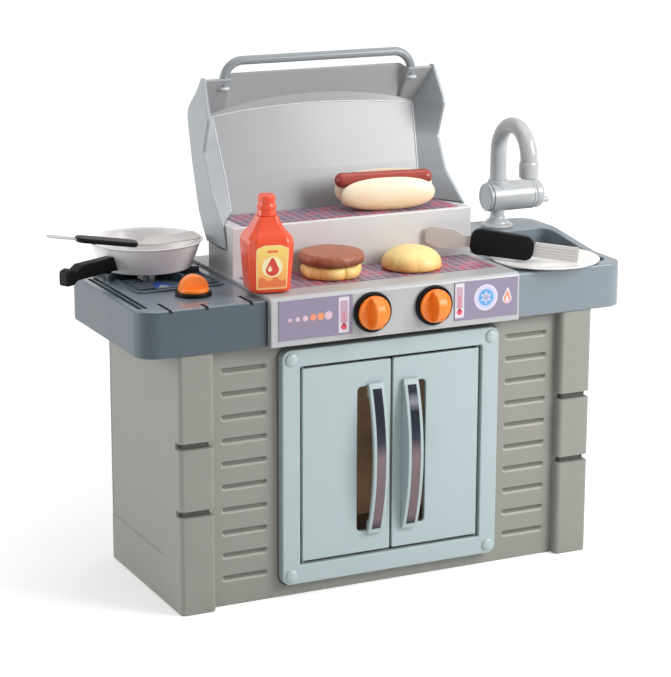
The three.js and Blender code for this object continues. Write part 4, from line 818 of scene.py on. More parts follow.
plan = tray_outline(sink_low.x, sink_high.x, sink_low.y, sink_high.y, 16)
basin = rectangle(sink_low.x + basin_side, sink_high.x - basin_side, basin_front, basin_back,
                  basin_radius, 10, 16)
tub, inside, low = inset(basin, -wall), inset(plan, wall), sink_low.z
rings = [level(inset(tub, 6), basin_floor - wall), level(inset(tub, 2), basin_floor - wall + 1),
         level(tub, basin_floor), sloped(tub, 2 * wall), sloped(inside, 2 * wall), level(inside, low + 0.6),
         level(inset(plan, 1.2), low), level(plan, low + 1.2)]
rings += [sloped(inset(plan, drawn), up) for drawn, up in edge_steps(3.5, 5)[::-1]]
rings += [sloped(inset(basin, -drawn), up) for drawn, up in edge_steps(2.5, 4)]
rings.append(level(inset(basin, basin_lean), basin_floor + 7))
rings += [level(inset(basin, basin_lean + drawn), basin_floor + up) for drawn, up in edge_steps(6, 4)[::-1]]
# The sink takes the lighter slate: painted light.
piece("sink_moulding", loft(rings), "base", sink_light_slate, "sink_tray")

# %% [markdown]
# Knobs are lathed: a black bezel, an orange base and, across it, a grip that is half a disc.
# They are drawn lying flat with their face up, then the two on the front are stood on edge.
# %% Knobs and bezels
bezel_height, knob_seat, knob_base, dial_steps = 6, 6.3, 6, 72


def bezel(low, high):
    """A bezel's profile: a low cylinder with a round rim and a dished face."""
    radius, top, r = (high.x - low.x) / 2, bezel_height, 1.6
    return lathe([(0, 0.3), (radius - 0.5, 0.3), (radius, 1), (radius, top - r), (radius - 0.5, top - 0.5),
                  (radius - r, top), (radius - 4, top), (radius - 5, top - 0.8), (0, top - 0.8)], dial_steps)


def knob(radius):
    """A base disc with a round edge and a half disc standing on it for the fingers."""
    seat, top = knob_seat, knob_seat + knob_base
    base = lathe([(0, seat), (radius - 0.6, seat), (radius, seat + 0.8), (radius, top - 2),
                  (radius - 0.6, top - 0.6), (radius - 2, top), (0, top + 0.4)], dial_steps)
    turn = np.linspace(0, math.pi, 33)
    arc = np.column_stack([radius * 0.96 * np.cos(turn), seat + 3 + radius * 0.96 * np.sin(turn)])
    return joined(base, slab(arc, -9, 9, 3, 5).facing())


for side in ("left", "right"):
    low, high, middle = room(f"{side}_bezel")
    ring, dial = (shape.turned(90, "X").moved(middle.x, high.y, middle.z)
                  for shape in (bezel(low, high), knob(28).turned(90)))
    piece(f"{side}_bezel_ring", ring, "base", black, f"{side}_bezel")
    piece(f"{side}_dial", dial, f"{side}_knob", orange, f"{side}_knob")
low, high, middle = room("burner_bezel")
seat = (middle.x, middle.y, tray_top)
piece("burner_bezel_ring", bezel(low, high).moved(*seat), "base", black, "burner_bezel")
piece("burner_dial", knob(25).moved(*seat), "burner_knob", orange, "burner_knob")

# %% [markdown]
# The faucet is a stack of turned parts: a flange and stem, a lying barrel with a cap at each end,
# and a swan neck swept along a half circle with a nozzle on its end.
# %% Faucet
spout_x, spout_y, _ = room("faucet_base")[2]
valve_low, valve_high, _ = room("valve_body")
r, length = (valve_high.y - valve_low.y) / 2, valve_high.x - valve_low.x
valve_z = valve_low.z + r


def faucet_piece(name, shape, body, node_name):
    """A piece of the faucet, all in one finish."""
    piece(name, shape, body, faucet_silver, node_name)


def lying(profile, x):
    """A lathed part laid along X on the valve's axis, with its profile's heights running right."""
    return lathe(profile, 64).turned(90, "Y").moved(x, spout_y, valve_z)


stem = [(0, 0.3), (27, 0.3), (28, 1.2), (28, 3.5), (27, 5), (24, 6), (21.5, 6.6), (20.5, 9), (19, 11.5),
        (15, 13.5), (13.2, 17), (12.6, 22), (12.6, 34), (0, 34)]
faucet_piece("faucet_stem", lathe(stem, 56).moved(spout_x, spout_y, sink_high.z), "base", "faucet_base")
barrel = lying([(0, 0), (r - 1.5, 0), (r - 0.3, 0.4), (r, 1.6), (r, length - 8), (r - 0.8, length - 7.2),
                (r - 0.8, length - 5.8), (r, length - 5), (r, length - 1.4), (r - 1, length), (0, length)],
               valve_low.x)
boss = lathe([(0, 0), (19.5, 0), (19.5, r * 0.72), (18.6, r + 2), (17.5, r + 3.6), (16, r + 4),
              (0, r + 4)], 48)
faucet_piece("valve_barrel", joined(barrel, boss.moved(spout_x, spout_y, valve_z)), "base", "valve_body")
cap = [(0, 0.9), (19, 0.9), (20, 0), (23.5, 0), (24.7, 0.8), (25, 2), (25, 5.4), (24.4, 6), (0, 6)]
faucet_piece("valve_cap", lying(cap, room("valve_end_cap")[0].x), "base", "valve_end_cap")
lever_x = valve_high.x + 0.3
lever = [(0, 0), (24.6, 0), (25.6, 0.8), (26, 2), (26, 10), (25, 13), (22.5, 15.6), (18, 17.4), (10, 18),
         (0, 18)]
peg = lathe([(0, 0), (5, 0), (5, 13), (4.4, 14.3), (3, 15), (0, 15)], 28).turned(90, "Y")
peg = peg.moved(lever_x + 17.5, spout_y - 6, valve_z - 12)
faucet_piece("lever_cap", joined(lying(lever, lever_x), peg), "faucet_lever", "faucet_lever")

spout_high = room("spout")[1]
nozzle_low, nozzle_high, nozzle_middle = room("nozzle")
neck_radius, bend = 15, 53
bend_z = spout_high.z - neck_radius - bend
turn = np.linspace(0, math.pi, 40)
straight = np.column_stack([np.zeros(8), np.linspace(valve_z + r + 4.3, bend_z, 8, endpoint=False)])
curve = np.column_stack([-bend + bend * np.cos(turn), bend_z + bend * np.sin(turn)])
route = np.vstack([straight, curve, [(-2 * bend, nozzle_high.z + 0.3)]])
path = np.column_stack([np.full(len(route), spout_x), spout_y + route[:, 0], route[:, 1]])
taper = 1.0 - 0.07 * np.sin(math.pi * np.clip(np.linspace(0, 1, len(path)) * 1.2, 0, 1))
neck = swept(path, circle(neck_radius, 36), (1, 0, 0), taper)
faucet_piece("spout_neck", neck, "spout", "spout")
tip = [(0, 0), (13.5, 0), (13.5, 1.5), (15, 1.5), (16.4, 2), (17, 3.5), (17, 24), (16.5, 27.5), (15.2, 30),
       (0, 30)]
faucet_piece("spout_tip", lathe(tip, 44).moved(spout_x, nozzle_middle.y, nozzle_low.z), "spout", "nozzle")

# %% [markdown]
# The lid is a blow-moulded shell. Two thick cheeks lean in towards a curved back wall, and above a
# bowed crease the wall leans forward again to the rim. We build the cheeks as lofts up the height,
# where each ring is a five-cornered section, and the wall as a loft across the width.
# A thin bead follows the crease in a bright tone, a painted highlight. The rim takes a hair darker tone,
# painted shade where it faces down, and the cheeks a tone of their own.
# %% Lid
hinge = next(joint for joint in frame["record"]["behaviour"]["joints"] if joint["name"] == "lid_hinge")
# Front edge and back edge of the cheeks: (height above the hinge, distance behind it).
cheek_front = [(-25, -44), (13, -34), (60, 24), (118, 56), (177, 33), (237, 63)]
cheek_back = [(-32, 33), (-18, 44), (-4, 55), (21, 73), (52, 92), (90, 106), (151, 122), (172, 126),
              (188, 119), (216, 92), (237, 76)]
# The cheeks' outer half width, the wall's inner face, and half its width there, at rising heights.
cheek_half = [(-32, 227), (15, 227), (55, 223), (188, 223), (243, 217)]
inner_face = [(-32, 42), (9, 42), (75, 60), (172, 95), (237, 64)]
inner_half_width = [(-32, 176), (9, 178), (75, 182), (172, 190), (237, 213)]
ear_top = 14


def read(table, height, spread=2.5):
    """A value read off a table of (height, value) pairs, with corners softened by a spread."""
    table = np.array(table, float)
    return np.mean([np.interp(height + shift, *table.T) for shift in np.linspace(-spread, spread, 5)], 0)


def cheek():
    """The right cheek: rings up the height. Each ring has a thin front edge, a flat outer face and a
    back, and inside it a face that runs from the front edge to the corner with the wall."""
    rings = []
    for h in np.concatenate([np.linspace(-29, 13.8, 14), np.linspace(ear_top, 237, 76)]):
        front, back, corner_x, corner_y = (
            float(read(table, h)) for table in (cheek_front, cheek_back, inner_half_width, inner_face))
        outer = float(read(cheek_half, h, 0))
        if h < ear_top:
            edge_x = corner_x = riser_half + 0.8
            corner_y = (front + back) / 2
        else:
            edge_x = max(outer - 5, corner_x + 0.5)
        corner_y = min(max(corner_y, front + 0.6), back - 1)
        small, large = min(1.8, (outer - edge_x) * 0.4), 5 * min(1, (back - front) / 40)
        rings.append(level(outline([(edge_x, front, small), (outer, front, small), (outer, back, large),
                                    (corner_x, back, 0.3), (corner_x, corner_y, 0.2)], 5), h))
    lowest, highest = rings[0].copy(), rings[-1].copy()
    for ring, drop in ((lowest, -2.5), (highest, 2.5)):
        ring[:, :2] += (ring.mean(0)[:2] - ring[:, :2]) * 0.12
        ring[:, 2] += drop
    return loft([lowest] + rings + [highest])


def crease(place):
    """Heights of the crease and of the soft turn above it, at a place across: both rise in a bow."""
    bow = np.maximum(0, 1 - (np.abs(place) / 195) ** 2) ** 0.85
    return 169 + 14 * bow, 172 + 28 * bow


def back_wall():
    """The wall between the cheeks: rings across the width, each the wall's section in side view.
    The crease rises in a bow towards the middle, where the rim stands higher between the legs."""
    rings = []
    for place in grid_lines(-214, 214, [-163, 163], 10, 16):
        raised = float(1 - soft_step(abs(place), 163, 8))
        bow, turn_over = crease(place)
        top, deep = 237 + 6 * raised, 95
        inner = [(42, -26, 1), (42, 9, 20), (60, 75, 60), (deep, bow, 2), (deep + 1.5, turn_over, 4),
                 (64 + 20 * raised, top, 2.2)]
        outer = [(74.6 + 17 * raised, top, 3), (90.2 + 13 * raised, 216, 3)]
        outer += [(reach - 1.6, height, min(12, 3 + reach / 8)) for height, reach in cheek_back[8:2:-1]]
        outer += [(53.4, -4, 4), (43.2, -21, 0.8)]
        section = outline((inner + outer)[::-1], 5)
        rings.append(np.column_stack([np.full(len(section), place), section]))
    wall, size = loft(rings), len(section)
    rim_points = range(6 * len(outer) + 3, 6 * len(outer) + 9)
    wall.marks = [2 if index < (len(rings) - 1) * size and index % size in rim_points else 0
                  for index in range(len(wall.faces))]
    return wall


corner_rise, across_line = np.linspace(16, 167, 40), np.linspace(189, -189, 70)
corner_line = np.column_stack([read(inner_half_width, corner_rise) - 0.4, read(inner_face, corner_rise) - 0.2,
                               corner_rise])
bow_line = np.column_stack([across_line, np.full(70, 94.7), crease(across_line)[0]])
bead_path = np.vstack([corner_line, bow_line, corner_line[::-1] * (-1, 1, 1)])
# The bead's bright tone is a painted highlight.
bead = swept(bead_path, circle(1.3, 10), (0, 1, 0)).marked(1)
right_cheek = cheek().marked(3)
lid_shell = joined(right_cheek, right_cheek.mirrored(), back_wall(), bead)
lid_highlight = plastic("Lid highlight plastic", "d4d7d9", 0.25, coat=0.4)
# The second tone is a painted highlight; the rim's tone, a hair darker, is painted shade.
lid_finishes = [lid_silver, lid_highlight, plastic("Lid rim shade plastic", "989b9d", 0.4),
                plastic("Lid cheek plastic", "a3aaae", 0.32, coat=0.15)]
piece("lid_shell", lid_shell.moved(0, hinge["pos_m"][1] / mm, hinge["pos_m"][2] / mm), "lid",
      lid_finishes, "lid", sharp=50)

rail_low, rail_high, rail_middle = room("lid_handle")
leg_half, leg_foot, rail_radius = rail_high.x - 10, rail_low.z, 7.5
bar_z, bend_radius = rail_high.z - rail_radius, 34
loop = outline([(-leg_half, bar_z, bend_radius), (-leg_half, leg_foot), (leg_half, leg_foot),
                (leg_half, bar_z, bend_radius)], 14)
loop = np.vstack([[(leg_half, leg_foot)], loop[45:], loop[:15], [(-leg_half, leg_foot)]])
steps = length_along(loop)
even = np.unique(np.concatenate([steps, np.linspace(0, steps[-1], 60)]))
even = even[np.append(True, np.diff(even) > 0.5)]
route = np.column_stack([np.interp(even, steps, loop[:, 0]), np.full(len(even), rail_middle.y),
                         np.interp(even, steps, loop[:, 1])])
rail = swept(route, circle(rail_radius, 24), (0, 1, 0))
# The feet take the bright tone too, a painted highlight.
feet = [lathe([(0, 0), (9.4, 0), (10, 0.8), (10, 3), (9, 4), (7.4, 4.6), (0, 4.6)], 32)
        .moved(side * leg_half, rail_middle.y, leg_foot).marked(1) for side in (-1, 1)]
rail_grey = plastic("Rail plastic", "858c90", 0.3, coat=0.15)
piece("lid_rail", joined(rail, *feet), "lid", [rail_grey, lid_highlight], "lid_handle")
for side in ("left", "right"):
    finish_node(f"lid_pin_{side}", lid_silver)

# %% [markdown]
# The pan is lathed with a rolled lip. Its handle, the spatula and the turner are flat shapes given
# a thickness, drawn lying along X and then turned and tilted to where they rest.
# %% Pan and spatula
pan_seat = (pan_middle.x, pan_middle.y, pan_low.z)
rim = (pan_high.x - pan_low.x) / 2
pan_profile = [(0, 0), (70, 0), (74, 0.8), (76.5, 3), (rim - 4.5, 41), (rim - 2.2, 44.5), (rim - 0.6, 45.4),
               (rim, 46.2), (rim - 0.7, 47), (rim - 3, 46.8), (rim - 5.4, 45), (rim - 7.4, 41), (73.5, 5),
               (71, 3), (67, 2.6), (0, 2.6)]
piece("pan_bowl", lathe(pan_profile, 96).moved(*pan_seat), "pan", pan_grey, "pan")
start, end, low, high = 77.5, 198, 7.6, 32
length = end - start
grip = outline([
    (start, low, 2), (start + 0.78 * length, low, 3), (start + 0.86 * length, low - 6, 3), (end, low - 6, 3),
    (end, high - 6, 6), (start + 0.9 * length, high - 3, 4), (start + 0.84 * length, high - 8, 3),
    (start + 0.7 * length, high, 4), (start + 10, high, 4)], 6)
grip = slab(grip, -9.4, 9.4, 2.6, 4).facing().turned(207).moved(*pan_seat)
piece("pan_grip", grip, "pan", black, "pan_handle")


def laid(shape, tilt, heading, seat, lift=0):
    """A shape lifted off its underside, tilted about Y, turned to its heading and put on its seat."""
    return shape.moved(z=lift).turned(tilt, "Y").turned(heading).moved(*seat)


def spatula_lay(shape):
    """The spatula's place across the pan's rim."""
    return laid(shape, 8, -10, (pan_seat[0] - 69, pan_seat[1], pan_seat[2] + 47), 1.6)


thin = 1.2
tang = slab(outline([(-100, -9, 8), (56, -9, 2), (56, 9, 2), (-100, 9, 8)], 6), -thin, thin, 0.8)
leaf = slab(outline([(-2, -9, 2), (25, -28, 8), (100, -28, 6), (100, 28, 6), (25, 28, 8), (-2, 9, 2)], 6),
            -thin, thin, 0.8).turned(-14, "Y").moved(54.4)
piece("spatula_leaf", spatula_lay(joined(tang, leaf)), "spatula", utensil_grey,
      "spatula_blade")
sleeve = slab(rectangle(-52, 52, -17, 17, 13, 8), -4, 4, 2.4, 4)
piece("spatula_sleeve", spatula_lay(sleeve), "spatula", black, "spatula_grip")

# %% [markdown]
# The plate is lathed, and the turner leans on it: its tail stands in the plate, on edge.
# Its tilt and heading are those of the solid, and its grip's middle is where the solid's is.
# %% Plate and turner
plate_low, _, plate_middle = room("plate")
plate_profile = [(0, 0), (56, 0), (58, 0.4), (91, 4.4), (92.7, 5.4), (93, 6.4), (92.4, 7), (91, 7), (60, 2.7),
                 (57, 2.2), (0, 2.2)]
piece("plate_dish", lathe(plate_profile, 96).moved(plate_middle.x, plate_middle.y, plate_low.z), "plate",
      plate_white, "plate")
first, last = -130.5, 130.5
grip_start, grip_end = first + 76.3, last - 76.3
turner_heading, turner_tilt = -28.8, 6.6
turner_seat = room("turner_grip")[2]


def turner_piece(name, shape, finish, node_name):
    """A piece of the turner, drawn in front view and laid where the turner rests."""
    piece(name, laid(shape, turner_tilt, turner_heading, turner_seat), "turner", finish, node_name)


head = slab(outline([
    (first, -11, 4), (first + 19, -18, 8), (first + 49, -18, 6), (first + 64, -10, 6), (first + 80, -10),
    (first + 80, 10), (first + 64, 10, 6), (first + 49, 18, 8), (first + 8, 18, 6), (first, 12, 5)], 5),
    -2, 2).facing()
neck = box(first + 70, last - 68, -1.9, 1.9, -9.9, 9.9, 1)
tail_start = last - 76
tail = slab(rectangle(tail_start, last, -13, 13, 2.5), -2, 2).facing()
ridges = [box(tail_start + 3, last - 4, -2.7, -1.4, at - 1.3, at + 1.3, 0.5) for at in (-7.5, -2.5, 2.5, 7.5)]
turner_piece("turner_head", joined(head, neck, tail, *ridges), utensil_grey, "turner_blade")
sleeve = slab(outline([(grip_start, -20.5, 15), (grip_end, -20.5, 15), (grip_end, 21, 15),
                       (grip_start, 25.5, 17)], 10), -8, 8, 3.5, 4).facing()
turner_piece("turner_sleeve", sleeve, black, "turner_grip")

# %% [markdown]
# The sauce bottle is a loft through eight-sided rings with round corners. Its cap is lathed, with
# fine ribs for the fingers: the ring's radius swings there as a cosine of the angle.
# %% Sauce bottle
bottle_low, _, bottle_middle = room("bottle_body")
bottle_seat, bottle_turn = (bottle_middle.x, bottle_middle.y, bottle_low.z), -10


def eight_sided(half, radius):
    """An eight-sided outline with a wide front, its corners round."""
    flat = half * 0.7
    corners = [(flat, -half), (half, -flat), (half, flat), (flat, half), (-flat, half), (-half, flat),
               (-half, -flat), (-flat, -half)]
    return outline([(a, b, radius) for a, b in corners], 5)


# Height, half width and corner radius of the bottle's rings.
bottle_rings = [(0, 29, 5), (1, 31, 6), (3, 32.6, 7), (6, 33.4, 7), (20, 34.4, 7), (45, 36.3, 7), (70, 38, 7),
                (78, 38.2, 8), (83, 37.8, 8), (88, 36.2, 7), (92, 33.6, 6), (96, 30.2, 5), (100, 26.8, 4.5),
                (104, 24, 4.5), (108, 21.6, 4), (112, 19.6, 4), (117, 17.6, 4), (121, 16.6, 4)]
bottle = loft([level(eight_sided(half, radius), height) for height, half, radius in bottle_rings])
piece("bottle_shell", bottle.turned(bottle_turn).moved(*bottle_seat), "bottle", sauce_red,
      "bottle_body", sharp=60)
cap_profile = np.array([(0, 121.3), (15.6, 121.3), (16, 122.6), (15.2, 127), (14.6, 131), (15.8, 132.4),
                        (15.8, 136.4), (14.4, 138), (13.6, 142), (13.8, 150), (13, 153.4), (11, 155),
                        (8.4, 155.3), (7, 154.4), (0, 154.4)])
ribs = 0.03 * np.cos(20 * np.linspace(0, 2 * math.pi, 96, endpoint=False))
cap = turned_rings(cap_profile, 96, 1 + ribs * band(cap_profile[:, 1:], 139, 152, 4))
piece("bottle_top", loft(cap).moved(*bottle_seat), "bottle", sauce_red, "bottle_cap")

# %% [markdown]
# The bottle's label is a thin film on its leaning front face, printed with a plain design of our own:
# a big drop of sauce with a highlight, over a wave. Each printed shape is a thin outline of its own
# colour, one hair in front of the next, so that no two faces share a plane.
# %% Bottle label
def printed(points, layer, mark, x=0, z=0):
    """A thin printed shape: its outline shifted in X and Z, its layer counted out from the film."""
    points = points + np.array((x, z))
    return loft([level(points, 0.3), level(points, -layer * 0.12)]).facing().marked(mark)


def on_bottle(shape):
    """A film drawn at depth 0 put on the bottle's front face, which leans out as it rises from the
    ring at height 6 to the one at 70."""
    lean = (38 - 33.4) / (70 - 6)
    shape.points[:, 1] -= 33.9 + lean * (shape.points[:, 2] - 6)
    return shape.turned(bottle_turn).moved(*bottle_seat)


def drop_points(radius, tall, steps=48):
    """A drop: a circle whose upper half is drawn up to a point."""
    turn = np.linspace(0, 2 * math.pi, steps, endpoint=False)
    up = np.clip(np.sin(turn), 0, 1)
    return np.column_stack([radius * np.cos(turn) * (1 - 0.35 * up),
                            radius * np.sin(turn) * (1 + tall * up**2)])


label_outline = outline([(-25.5, 7.5, 2), (24, 7.5, 2), (26.5, 74, 5), (12, 79.5, 12), (-13, 79.5, 12),
                         (-26.5, 74, 5)], 5)
wave_x = np.linspace(-22.5, 22.5, 40)
wave = np.vstack([np.column_stack([wave_x, 24 + 3.5 * np.sin(wave_x * 0.28)]),
                  np.column_stack([wave_x[::-1], np.full(40, 11.0)])])
design = [printed(label_outline, 1, 0), printed(inset(label_outline, 1.6), 2, 1), printed(wave[::-1], 3, 2),
          printed(circle(17, 48), 3, 3, 0, 44), printed(drop_points(11, 0.75), 4, 4, 0, 40),
          printed(drop_points(3.4, 0.9), 5, 3, -4, 40), printed(rectangle(-9, 9, 67, 71.5, 2), 3, 2)]


def label_ground(name, low, high):
    """Printed film that runs from one tone at its foot to another at its head."""
    material, tree, place = new_finish(name)
    share = height_share(tree, place, bottle_seat[2] + 8, bottle_seat[2] + 78)
    return shaded(material, {"Base Color": mixed(tree, share, tone(low), tone(high)), "Roughness": 0.35})


label_films = [plastic("Label frame print", "f7dc9c"), label_ground("Label ground print", "f39a48", "f5d873"),
               plastic("Label wave print", "e6743c"), plastic("Label cream print", "f4e6b8"),
               plastic("Label drop print", "d03c28")]
piece("bottle_film", on_bottle(joined(*design)), "bottle", label_films, "bottle_label",
      sharp=20)

# %% [markdown]
# Play food is moulded too, but painted: golden buns with darker tops, a glossy brown patty.
# The buns swell into lobes round their edge, so their radius swings with the angle.
# %% Food finishes and shapes
def food(name, low_tone, high_tone, roughness, scale, grain, low, high):
    """Painted food: the tone rises with the height, broken up by noise, over a lumpy surface."""
    material, tree, place = new_finish(name)
    lumps = noise(tree, place, scale, 4.0)
    blur = node(tree, "Math", {0: lumps, 1: 0.7, 2: height_share(tree, place, low, high)},
                operation="MULTIPLY_ADD")
    share = node(tree, "Math", {0: blur, 1: 0.35}, operation="SUBTRACT", use_clamp=True)
    return shaded(material, {"Base Color": mixed(tree, share, tone(low_tone), tone(high_tone)),
                             "Normal": bumped(tree, lumps, grain, 2), "Roughness": roughness})


def lumpy(rings, amount, waves, seed, fine=1.0):
    """Rings pushed out and in by a sum of waves with seeded phases, so that no side repeats."""
    away = rings - rings.mean((0, 1))
    chance = np.random.default_rng(seed)
    push = np.zeros(rings.shape[:2])
    for _ in range(waves):
        direction = chance.normal(size=3)
        direction *= fine * chance.uniform(90, 260) * mm / np.linalg.norm(direction)
        push += np.sin(away @ direction + chance.uniform(0, 2 * math.pi))
    size = np.linalg.norm(away, axis=2, keepdims=True)
    return rings + away / np.maximum(size, 1e-3) * (push / waves * amount)[..., None] * (size > 1e-2)


def disc_rings(profile, steps, lobes=0.0, count=0):
    """Rings of a lathed profile whose radius swings in rounded lobes round the rim."""
    turn = np.linspace(0, 2 * math.pi, steps, endpoint=False)
    swing = lobes * (np.abs(np.cos(count * turn / 2 + 0.5)) ** 0.6 - 0.75)
    return turned_rings(profile, steps, 1 + swing * (profile[:, :1] / profile[:, 0].max()) ** 2)


def bulging(radius, height, power, steps=14):
    """Half a squared circle for the side of a bun or patty, from the middle below to the middle above."""
    turn = np.linspace(-math.pi / 2, math.pi / 2, steps)
    side = radius - height / 2 * (1 - np.cos(turn) ** power)
    inner = np.linspace(0, 1, 5)[:-1]
    lower = [(side[0] * share, 0) for share in inner]
    upper = [(side[-1] * share, height * (1 + 0.04 * (1 - share))) for share in inner[::-1]]
    return np.array(lower + list(zip(side, height / 2 * (1 + np.sin(turn)))) + upper)


def food_piece(name, rings, node_name, slot, finish, *look):
    """A piece of food from its rings, on the place of its node. Its finish's heights start there."""
    low, _, middle = room(node_name)
    *look, from_z, to_z = look
    piece(name, loft(rings).moved(middle.x, middle.y, low.z), node_name,
          food(finish, *look, low.z + from_z, low.z + to_z), node_name)


base = lumpy(disc_rings(bulging(49.8, 21.6, 0.8), 160, 0.14, 7), 0.5, 6, 3)
food_piece("bun_base", base, "bottom_bun", "bun_tan", "Bun paint", "eeaa4e", "f8d88a", 0.45, 45.0, 0.25,
           -6, 20)
patty_low, patty_high, _ = room("patty")
meat = lumpy(disc_rings(bulging(54.4, 19.6, 0.7, 24), 200), 2.6, 26, 5, 2.0)
food_piece("patty_disc", meat, "patty", "meat_brown", "Patty paint", "6b2f1a", "a45e3e", 0.38, 160.0, 0.9,
           -4, patty_high.z - patty_low.z)
dome_profile = [(0, 0), (20, 0), (38, 0), (45, 0.2), (48.5, 1.4), (50.3, 4)]
dome_profile += quarter(50.8, 31.6, 16, low=6, power=0.85) + [(0, 37.6)]
dome = lumpy(disc_rings(np.array(dome_profile), 128, 0.035, 9), 1.2, 14, 8)
food_piece("bun_dome", dome, "top_bun", "bun_tan", "Bun top paint", "dd9440", "f9dc93", 0.42, 55.0, 0.35,
           -8, 26)

# %% [markdown]
# The hot dog bun is three long lobes pressed round the sausage: a small one behind, a fat one in
# front and a low one between. Along its length a lobe narrows like a squared circle, and what would
# stand inside the sausage is pushed out to its skin, so that the sausage lies in a cradle.
# %% Hot dog
hot_low, _, hot_middle = room("hot_dog_bun")
hot_seat, hot_turn = (hot_middle.x, hot_middle.y, hot_low.z), -9
sausage_low, sausage_high, _ = room("sausage")
sausage_radius = 13
sausage_x, sausage_y, sausage_z = -8, -4, sausage_high.z - sausage_radius - hot_low.z
cradle = sausage_radius + 0.4
turn = np.linspace(0, 2 * math.pi, 72, endpoint=False)
shift = np.sin(np.linspace(-math.pi / 2, math.pi / 2, 57))[:, None]


def lobe(start, end, y, z, wide, high, power=2.4):
    """A long lobe: along X its section is an ellipse that shrinks as a squared circle does. What would
    stand inside the sausage is pushed out to its skin, and above its middle straight to its side."""
    size = (1 - np.abs(shift) ** power) ** (1 / power)
    section_y = y + wide * size * np.cos(turn)
    section_z = np.maximum(z + high * size * np.sin(turn), 0)
    away_y, away_z = section_y - sausage_y, section_z - sausage_z
    far = np.maximum(np.hypot(away_y, away_z), 1e-3)
    below = (far < cradle) & (away_z <= 0)
    section_y = np.where(below, sausage_y + away_y / far * cradle, section_y)
    section_z = np.where(below, sausage_z + away_z / far * cradle, section_z)
    above = (np.abs(away_y) < cradle) & (away_z > 0)
    section_y = np.where(above, sausage_y + cradle * np.sign(y - sausage_y), section_y)
    along = np.broadcast_to((start + end) / 2 + shift * (end - start) / 2, section_y.shape)
    return loft(np.stack([along, section_y, section_z], -1))


roll = joined(lobe(-86, 79, -18, 28, 14, 28), lobe(-89, 84, 12, 33, 18, 33), lobe(-82, 77, -3, 17, 24, 17))
cream = food("Roll paint", "edc58f", "f7ead0", 0.4, 30.0, 0.1, hot_low.z - 6, hot_low.z + 40)
piece("hot_dog_roll", roll.turned(hot_turn).moved(*hot_seat), "hot_dog_bun", cream,
      "hot_dog_bun", sharp=70)
link_half = 86
reach = link_half - sausage_radius
turns = np.linspace(-math.pi / 2, math.pi / 2, 40)
ends_x = sausage_radius * np.sin(turns) + np.repeat([-reach, reach], 20)
link_x = np.concatenate([ends_x[:20], np.linspace(-reach, reach, 50)[1:-1], ends_x[20:]])
link_radius = np.insert(sausage_radius * np.cos(turns), 20, np.full(48, sausage_radius))
link_radius = (link_radius * (0.98 + 0.03 * np.abs(link_x / link_half) ** 4) * 0.985)[:, None]
turn = np.linspace(0, 2 * math.pi, 40, endpoint=False)
link = loft(np.stack([link_x[:, None] + 0 * turn, link_radius * np.cos(turn),
                      link_radius * np.sin(turn)], -1))
sausage_finish = food("Sausage paint", "7a2219", "a83f32", 0.28, 40.0, 0.3, sausage_low.z, sausage_high.z)
link = link.moved(sausage_x, sausage_y, sausage_z).turned(hot_turn).moved(*hot_seat)
piece("sausage_link", link, "sausage", sausage_finish, "sausage")

# %% [markdown]
# The deck and the shelf carry printed films: glowing coals under a grill. The coals are small cells
# blended with noise, and the bars are two sets of lines at a set pitch, all in object coordinates.
# %% Printed films
def coals(name):
    """Mauve and crimson coals in small cells, crossed by paler bars."""
    material, tree, place = new_finish(name)
    cells = node(tree, "TexVoronoi", {"Vector": place, "Scale": 64.0})
    spread = node(tree, "SeparateColor", {0: cells.outputs["Color"]})
    heat = node(tree, "Mix", {"Factor": 0.5, 2: noise(tree, place, 30.0, 3.0), 3: spread}, data_type="FLOAT")
    colour = colour_ramp(tree, heat, [(0.3, "6b5a70"), (0.52, "8b6076"), (0.72, "c04a62")])
    split = node(tree, "SeparateXYZ", {0: place})
    for axis, pitch, width, code in (("Y", 21, 0.22, "958a9b"), ("X", 16, 0.28, "a399a8")):
        step = node(tree, "Math", {0: split.outputs[axis], 1: pitch * mm}, operation="DIVIDE")
        part = node(tree, "Math", {0: step}, operation="FRACT")
        bar = node(tree, "Math", {0: part, 1: width}, operation="LESS_THAN")
        colour = mixed(tree, node(tree, "Math", {0: bar, 1: 0.8}, operation="MULTIPLY"), colour, tone(code))
    return shaded(material, {"Base Color": colour, "Roughness": 0.35})


coal_print = coals("Coal print")
label_purple = plastic("Label print", "8b8298", grain=0.02, drift=0.12, scale=400)
for name, finish in (("deck_label", coal_print), ("shelf_label", coal_print),
                     ("control_label_left", label_purple), ("control_label_right", label_purple)):
    finish_node(name, finish)
    print(name, "takes", finish.name)

# %% [markdown]
# The control labels show what a cook looks at: a thermometer beside each knob, a ring with a cool blue
# disc, a small flame, and a row of dots that grow warmer. They are thin shapes like those on the bottle.
# %% Control prints and burner flame
def strip_print(x0, x1, z0, z1):
    """A thermometer: a pale strip with a soft column and a red bulb at its foot."""
    middle = (x0 + x1) / 2
    return [printed(rectangle(x0, x1, z0, z1, 1.5), 1, 0),
            printed(rectangle(x0 + 2.6, x1 - 2.6, z0 + 16, z1 - 6, 2), 2, 1),
            printed(rectangle(middle - 1.8, middle + 1.8, z0 + 12, z1 - 22, 1), 3, 7),
            printed(circle(5, 28), 3, 2, middle, z0 + 10)]


def flame_points(wide, tall, steps=60):
    """A flame: a drop whose tip leans over and whose side dips in once."""
    turn = np.linspace(0, 2 * math.pi, steps, endpoint=False)
    up = np.clip(np.sin(turn), 0, 1)
    x = wide * np.cos(turn) * (1 - 0.45 * up) + 0.25 * wide * up**2 * np.sin(2.2 * up + 0.6)
    return np.column_stack([x, tall * (0.38 * np.minimum(np.sin(turn), 0) + 0.62 * up**1.6)])


